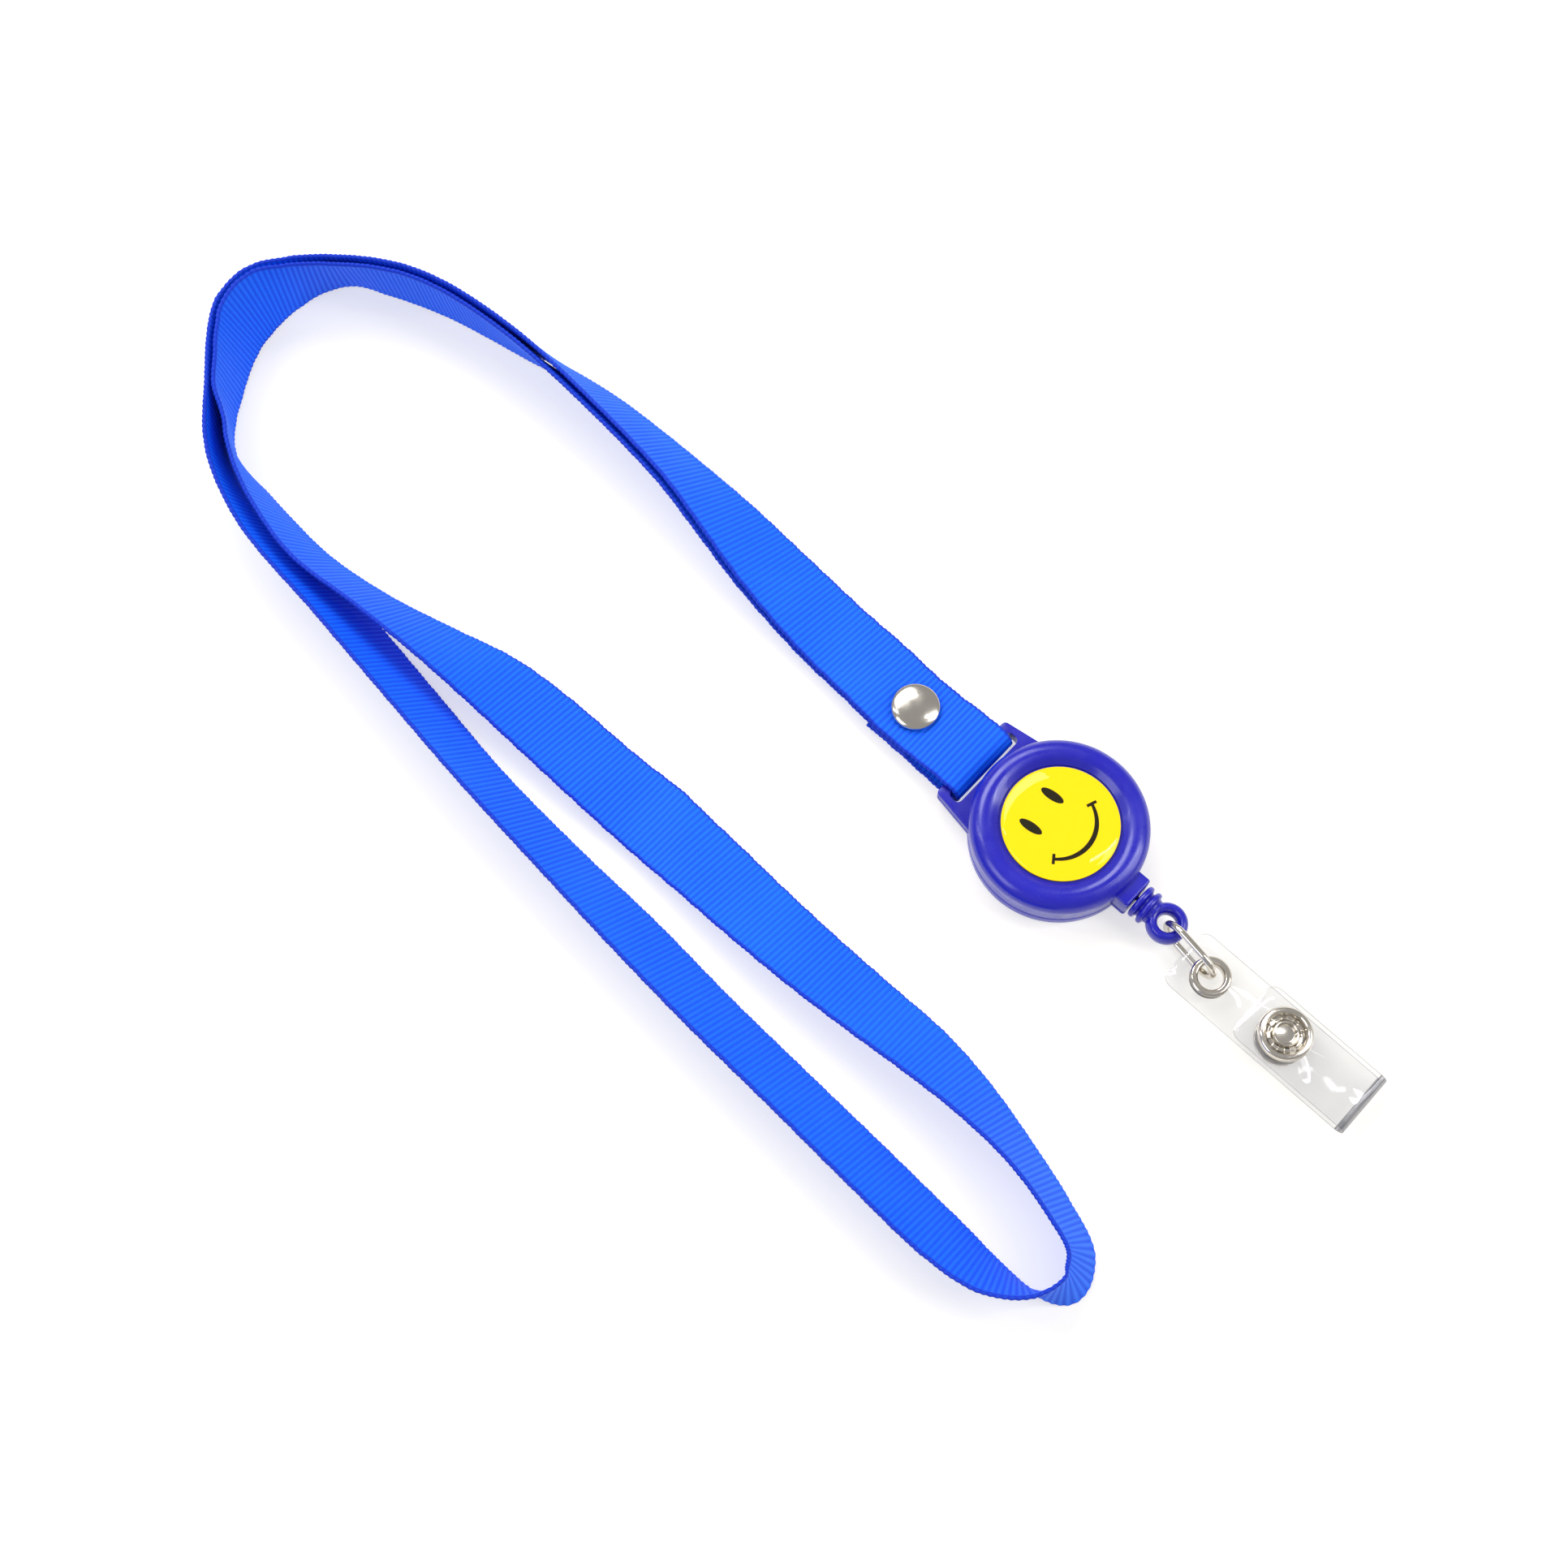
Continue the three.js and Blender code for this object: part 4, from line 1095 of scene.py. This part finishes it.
@dataclass
class Sticker:
    """The printed disc with its smiling face, and the clear dome over it.

    Attributes:
        centre: the reel's axis on the table.
        radius: the disc's radius in millimetres.
        level: the height of the print's face.
    """

    centre: Vector
    radius: float = 10.5
    level: float = 8.7
    crown: float = 10.0
    turn: float = 8.0
    mouth: float = 7.0
    mouth_x: float = -0.8
    mouth_turn: float = 62.0

    def ink(self, name: str, outline: Sequence[Point2]) -> bpy.types.Object:
        """One thin printed shape, turned with the face."""
        c, s = math.cos(math.radians(self.turn)), math.sin(math.radians(self.turn))
        turned = [(x * c - y * s, x * s + y * c) for x, y in outline]
        return prism(name, turned, self.level, self.level + 0.03, self.centre)

    def eye(self, name: str, y: float) -> bpy.types.Object:
        """One oval eye, upright on a face whose top is towards the strap."""
        turn = np.linspace(0, 2 * math.pi, 48, endpoint=False)
        return self.ink(name, [(-4.0 + 2.3 * math.cos(a), y + 0.85 * math.sin(a)) for a in turn])

    def smile(self) -> bpy.types.Object:
        """The mouth: an arc that swells in the middle, with a short tick at each end."""
        reach, radius, middle = math.radians(self.mouth_turn), self.mouth, self.mouth_x
        angles = np.linspace(-reach, reach, 60)
        half = [0.26 + 0.18 * math.cos(a / reach * math.pi / 2) for a in angles]
        outer = [(middle + (radius + h) * math.cos(a), (radius + h) * math.sin(a))
                 for a, h in zip(angles, half)]
        inner = [(middle + (radius - h) * math.cos(a), (radius - h) * math.sin(a))
                 for a, h in zip(angles, half)]
        arc = self.ink("smile_arc", outer + inner[::-1])
        return combine(arc, [self.tick(sign * reach) for sign in (-1, 1)], "UNION")

    def tick(self, angle: float) -> bpy.types.Object:
        """The short bar across one end of the mouth."""
        x, y = self.mouth_x + self.mouth * math.cos(angle), self.mouth * math.sin(angle)
        out = Vector((math.cos(angle), math.sin(angle)))
        side = Vector((-out.y, out.x))
        long, thick = 0.95, 0.27
        corners = [out * long + side * thick, out * -long + side * thick, out * -long - side * thick,
                   out * long - side * thick]
        return self.ink("tick", [(x + c.x, y + c.y) for c in corners])

    def dome(self) -> bpy.types.Object:
        """The poured resin, steep at its edge and nearly flat over the middle."""
        bottom = self.level + 0.05
        rise = self.crown - bottom - 0.12
        skirt = [(0, bottom), (self.radius - 0.03, bottom), (self.radius, bottom + 0.12)]
        cap = []
        for a in np.linspace(0, math.pi / 2, 36)[1:]:
            cap.append((self.radius * math.cos(a) ** 0.8, bottom + 0.12 + rise * math.sin(a) ** 0.9))
        cap[-1] = (0.0, cap[-1][1])
        return lathe("resin_lens", [*skirt, *cap], self.centre, 160, 50.0)

    def build(self) -> None:
        """Makes and dresses the sticker."""
        low = self.level - 0.35
        disc = lathe("sticker_disc",
                     [(0, low), (self.radius, low), (self.radius, self.level), (0, self.level)], self.centre,
                     160)
        settle(disc, Slot.PRINT, "reel_case", "sticker_print")
        for piece in (self.eye("eye_left", 3.5), self.eye("eye_right", -3.5), self.smile()):
            piece.data.materials.append(BLACK_INK)
            settle(piece, Slot.PRINT, "reel_case")
        settle(self.dome(), Slot.RESIN, "reel_case", "resin_dome")


# ---------------------------------------------------------------- bead, link and clear strap


@dataclass
class EndFittings:
    """The bead on the cord, and the wire link.

    Attributes:
        centre: the reel's axis on the table.
    """

    centre: Vector
    height: float = 4.6
    start: float = 18.6
    eye_x: float = 25.0
    swing: float = math.radians(-8.0)

    def bead(self) -> bpy.types.Object:
        """Ribs round the cord, and a flattened ball with an upright eye."""
        profile: list[Point2] = [(0, 0)]
        for i in range(2):
            at = i * 1.7
            profile += [(2.7, at), (3.15, at + 0.15), (3.3, at + 0.6), (3.15, at + 1.05), (2.5, at + 1.25),
                        (2.4, at + 1.6)]
        profile += [(2.4, 3.9), (0, 3.9)]
        ribs = lathe("bead_ribs", fillet(profile, 0.2, 4), Vector((0, 0, 0)), 96)
        ribs.data.transform(Matrix.Rotation(math.pi / 2, 4, "Y"))
        place = Vector((self.centre.x + self.start * MM, self.centre.y, self.height * MM))
        ribs.data.transform(Matrix.Translation(place))
        eye_at = Vector((self.centre.x + self.eye_x * MM, self.centre.y, 0))
        turn = np.linspace(0, 2 * math.pi, 32, endpoint=False)
        section = [(2.7 + 1.05 * math.cos(a), self.height + 1.9 * math.sin(a)) for a in turn]
        eye = lathe("bead_eye", section, eye_at, 96)
        outline = [(17.0, -0.8), (20.0, -0.8), (20.0, 0.8), (17.0, 0.8)]
        hole = prism("cord_hole", outline, self.height - 0.8, self.height + 0.8, self.centre, 0.4)
        return combine(combine(ribs, [eye], "UNION"), [hole], "DIFFERENCE")

    def link(self) -> bpy.types.Object:
        """A straight-sided oval of wire that stands upright."""
        near, far, end, level = 28.8, 33.2, 3.6, 4.4
        route = []
        for middle, turn in ((far, -90), (near, 90)):
            for a in np.radians(np.linspace(turn, turn + 180, 40)):
                x = self.centre.x + (middle + end * math.cos(a)) * MM
                route.append(Vector((x, self.centre.y, (level + end * math.sin(a)) * MM)))
        link = wire("oval_link", route, Vector((0, 1, 0)), 0.65, 24, True)
        eye = Vector((self.centre.x + self.eye_x * MM, self.centre.y, 0))
        link.data.transform(
            Matrix.Translation(eye) @ Matrix.Rotation(self.swing, 4, "Z") @ Matrix.Translation(-eye)
        )
        return link

    def hang(self, reach: float) -> Vector:
        """How far the link's lean to one side shifts what hangs at its far end, reach millimetres away."""
        return Vector((math.cos(self.swing) - 1, math.sin(self.swing), 0)) * reach * MM

    def build(self) -> None:
        """Makes and dresses the fittings."""
        settle(self.bead(), Slot.CASE, "bead", "end_bead")
        settle(self.link(), Slot.NICKEL, "link", "wire_link")


@dataclass
class ClearStrap:
    """The folded vinyl strap, its eyelet and its snap.

    Attributes:
        centre: the reel's axis on the table.
    """

    centre: Vector
    half: float = 6.0
    thick: float = 0.5
    low: float = 2.4
    high: float = 4.9
    end: float = 30.5
    flap: float = 45.2
    bend: float = 69.0
    eyelet_x: float = 36.8
    snap_x: float = 52.6

    def at(self, x: float) -> Vector:
        """The point on the table at x millimetres from the reel's axis."""
        return Vector((self.centre.x + x * MM, self.centre.y, 0))

    def leaf(self, name: str, start: float, level: float) -> bpy.types.Object:
        """One flat leaf with two rounded corners."""
        h, b = self.half, self.bend
        outline = [(b, -h), (b, h), *fillet([(b, h), (start, h), (start, -h), (b, -h)], 2.4, 8)[1:-1]]
        return prism(name, outline, level, level + self.thick, self.centre)

    def fold(self) -> bpy.types.Object:
        """The bend that joins the leaves."""
        middle = (self.low + self.high + self.thick) / 2
        outer, inner = middle - self.low, middle - self.low - self.thick
        turn = np.linspace(-math.pi / 2, math.pi / 2, 24)
        section = [(self.bend + outer * math.cos(a), middle + outer * math.sin(a)) for a in turn]
        section += [(self.bend + inner * math.cos(a), middle + inner * math.sin(a)) for a in turn[::-1]]
        rings = [
            [Vector((self.centre.x + x * MM, self.centre.y + y * MM, z * MM)) for x, z in section]
            for y in (-self.half, self.half)
        ]
        return sweep("vinyl_fold", rings)

    def vinyl(self) -> bpy.types.Object:
        """Both leaves and the bend as one strip, punched for the eyelet and the snap."""
        strip = self.leaf("vinyl_strap", self.end, self.low)
        strip = combine(strip, [self.fold(), self.leaf("upper", self.flap, self.high)], "UNION")
        cuts = [
            prism("eyelet_cut", disc_outline(2.9), 0.5, 4.0, self.at(self.eyelet_x)),
            prism("post_cut", disc_outline(1.2), 0.5, 4.0, self.at(self.snap_x)),
            prism("stem_cut", disc_outline(2.6), 4.2, 6.5, self.at(self.snap_x)),
        ]
        strip = combine(strip, cuts, "DIFFERENCE")
        ease(strip, 0.16, 2, 60.0)
        return strip

    def eyelet(self) -> bpy.types.Object:
        """The rolled eyelet through the lower leaf."""
        below, above = self.low - 0.3, self.low + self.thick + 0.3
        profile = [(2.3, below - 0.15), (2.5, below - 0.35), (3.45, below - 0.35), (3.65, below - 0.15),
                   (3.65, below),
                   (2.6, below), (2.6, above), (3.65, above), (3.65, above + 0.2), (3.3, above + 0.5),
                   (2.6, above + 0.5), (2.3, above + 0.2)]
        return lathe("eyelet_ring", fillet(profile, 0.16, 4, closed=True), self.at(self.eyelet_x), 96)

    def ring(self) -> bpy.types.Object:
        """The snap's rolled rim."""
        base = self.high + self.thick + 0.3
        profile = [(3.4, base), (4.8, base), (4.85, base + 0.7), (4.55, base + 1.3), (4.1, base + 1.5),
                   (3.65, base + 1.25), (3.4, base + 0.7)]
        return lathe("snap_rim", fillet(profile, 0.35, 6, closed=True), self.at(self.snap_x), FINE)

    def cup(self) -> bpy.types.Object:
        """The snap's socket, its hollow post and the floor that the prongs lie on."""
        floor, flange = self.high + self.thick + 0.3, self.high - 0.3
        profile = [(1.5, flange - 0.7), (4.0, flange - 0.7), (4.0, flange), (2.3, flange), (2.3, floor),
                   (3.1, floor),
                   (3.1, floor + 0.35), (2.45, floor + 0.4), (2.35, floor + 1.15), (2.1, floor + 1.48),
                   (1.8, floor + 1.35), (1.6, floor + 0.55), (0, floor + 0.4), (0, floor - 0.1),
                   (1.5, floor - 0.1)]
        rounded = fillet(profile[:-2], 0.16, 4) + profile[-2:]
        return lathe("snap_socket", rounded, self.at(self.snap_x), 96)

    def prongs(self) -> bpy.types.Object:
        """The prongs crimped over the floor."""
        place = self.at(self.snap_x)
        level = (self.high + self.thick + 0.3 + 0.5) * MM
        recipe = prongs_recipe(8, 2.9, place.x, place.y, level)
        return recipe.run(empty_object("snap_prongs"), MATERIALS[Slot.NICKEL])

    def stud(self) -> bpy.types.Object:
        """The stud that the socket grips."""
        base = self.low + self.thick + 0.3
        profile = [(0, base), (2.6, base), (2.6, base + 0.4), (0.9, base + 0.4), (1.2, base + 1.0),
                   (1.2, base + 1.6),
                   (0.8, base + 2.0), (0, base + 2.1)]
        return lathe("snap_knob", fillet(profile, 0.14, 4), self.at(self.snap_x), SMALL)

    def base(self) -> bpy.types.Object:
        """The stud's cap below the strap."""
        top = self.low - 0.3
        profile = [(0, 0), (3.4, 0), (4.3, 0.5), (4.6, 1.2), (4.6, top - 0.2), (0.9, top), (0.9, top + 0.8),
                   (0, top + 0.8)]
        return lathe("snap_foot", fillet(profile, 0.3, 5), self.at(self.snap_x), 96)

    def build(self) -> None:
        """Makes and dresses the strap."""
        strip = self.vinyl()
        strip.data.materials.append(MATERIALS[Slot.VINYL])
        strip.data.materials.append(VINYL_EDGE_SHADE)
        bend = self.centre.x + self.bend * MM
        # Side faces and the bend take the darker grey copy: painted shade.
        for face in strip.data.polygons:
            face.material_index = int(abs(face.normal.z) < 0.9 or face.center.x > bend)
        vinyl = settle(strip, Slot.VINYL, None, "strap_lower_leaf", "strap_bend", "strap_upper_leaf")
        x = self.centre.x + self.bend * MM
        start = (x, self.centre.y, (self.low + self.thick) * MM)
        end = (x, self.centre.y, self.high * MM)
        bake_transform(vinyl)
        settle(self.eyelet(), Slot.NICKEL, "badge_strap", "eyelet")
        settle(self.stud(), Slot.NICKEL, "badge_strap", "snap_stud")
        settle(self.base(), Slot.NICKEL, "badge_strap", "snap_base")
        settle(self.ring(), Slot.NICKEL, "strap_flap", "snap_ring")
        settle(self.cup(), Slot.NICKEL, "strap_flap", "snap_cup")
        settle(self.prongs(), Slot.NICKEL, "strap_flap")


# ---------------------------------------------------------------- studio


@dataclass
class Studio:
    """The camera, floor and lights.

    Attributes:
        centre: the reel's axis on the table, which the camera is placed from.
        turn: how far the view is turned about the vertical, in degrees.
        elevation: the camera's height above the horizon, in degrees.
        distance: from the camera to the point it looks at, in millimetres.
        aim: that point, across and inward from the reel's axis, in millimetres.
        lens: focal length on a 36 mm sensor.
        floor_half: half the floor's side, in metres.
        floor_glow: how strongly the floor shines.
        sky: how strongly the surroundings shine.
    """

    centre: Vector
    turn: float = 43.0
    elevation: float = 71.5
    distance: float = 400.0
    aim: tuple[float, float] = (-48.5, 10.2)
    lens: float = 50.9
    floor_half: float = 4.0
    floor_glow: float = 0.56
    sky: float = 0.42

    def across(self) -> Vector:
        """The view's rightward direction on the table."""
        return Vector((math.cos(math.radians(self.turn)), math.sin(math.radians(self.turn)), 0))

    def camera(self) -> None:
        """Places the camera."""
        right = self.across()
        inward = Vector((-right.y, right.x, 0))
        tilt = math.radians(self.elevation)
        forward = inward * math.cos(tilt) - Vector((0, 0, 1)) * math.sin(tilt)
        target = self.centre + (right * self.aim[0] + inward * self.aim[1]) * MM
        data = bpy.data.cameras.new("camera")
        data.lens, data.sensor_width = self.lens, 36.0
        data.clip_start, data.clip_end = 0.01, 10.0
        camera = bpy.data.objects.new("camera", data)
        bpy.context.scene.collection.objects.link(camera)
        upward = right.cross(forward)
        axes = Matrix((right, upward, -forward)).transposed().to_4x4()
        camera.matrix_world = Matrix.Translation(target - forward * self.distance * MM) @ axes
        bpy.context.scene.camera = camera

    def floor(self) -> None:
        """Lays the plain pale floor."""
        size = self.floor_half
        floor = mesh_object("floor", [(-size, -size, 0), (size, -size, 0), (size, size, 0), (-size, size, 0)],
                            [(0, 1, 2, 3)])
        floor.data.transform(Matrix.Translation((0, 0, -0.00005)))
        paint = Paint("pale_floor", Roughness=0.9)
        paint.surface.inputs["Base Color"].default_value = (0.5, 0.48, 0.43, 1)
        paint.surface.inputs["Emission Color"].default_value = (1, 1, 1, 1)
        paint.surface.inputs["Emission Strength"].default_value = self.floor_glow
        floor.data.materials.append(paint.material)

    def lamp(self, name: str, place: Point2, height: float, size: Point2, watts: float) -> None:
        """One soft rectangular lamp, aimed at the middle of the object."""
        data = bpy.data.lights.new(name, "AREA")
        data.shape = "RECTANGLE"
        data.size, data.size_y = size
        data.energy = watts
        lamp = bpy.data.objects.new(name, data)
        bpy.context.scene.collection.objects.link(lamp)
        right = self.across()
        inward = Vector((-right.y, right.x, 0))
        lamp.location = right * place[0] + inward * place[1] + Vector((0, 0, height))
        lamp.rotation_euler = (-lamp.location).to_track_quat("-Z", "Y").to_euler()

    def build(self) -> None:
        """Sets the whole studio."""
        self.camera()
        self.floor()
        self.lamp("key", (-0.35, 0.75), 0.95, (0.9, 0.6), 11.0)
        self.lamp("side", (0.9, -0.1), 0.7, (0.35, 0.9), 5.0)
        self.lamp("fill", (-0.8, -0.5), 0.8, (0.6, 0.6), 3.5)
        self.lamp("strip_left", (-0.75, 0.2), 0.75, (0.05, 0.6), 1.4)
        self.lamp("strip_right", (0.6, 0.05), 0.8, (0.05, 0.6), 1.4)
        world = bpy.data.worlds.new("studio")
        world.use_nodes = True
        world.node_tree.nodes["Background"].inputs["Color"].default_value = (1.0, 1.0, 1.0, 1)
        world.node_tree.nodes["Background"].inputs["Strength"].default_value = self.sky
        bpy.context.scene.world = world
        bpy.context.scene.view_settings.view_transform = "Standard"


def dress_kept_nodes() -> None:
    """Gives the CAD nodes that stay their finishes."""
    for name, slot in (("spring_cover", Slot.WHITE), ("cord_knot", Slot.CORD)):
        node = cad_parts[name]
        node.data.materials.clear()
        node.data.materials.append(MATERIALS[slot])
        log.info("%s keeps its shape", name)


def main() -> None:
    """Builds every sub-assembly in order."""
    low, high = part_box("spool")
    centre = Vector(((low.x + high.x) / 2, (low.y + high.y) / 2, 0))
    Studio(centre).build()
    Webbing(centre).build()
    Rivet(centre + Vector((-33.9 * MM, 0, 0))).build()
    ReelCase(centre).build()
    Mechanism(centre).build()
    Sticker(centre).build()
    fittings = EndFittings(centre)
    fittings.build()
    ClearStrap(centre + fittings.hang(ClearStrap.eyelet_x - fittings.eye_x)).build()
    dress_kept_nodes()
    log.info("sizes written")


if __name__ == "__main__":
    main()
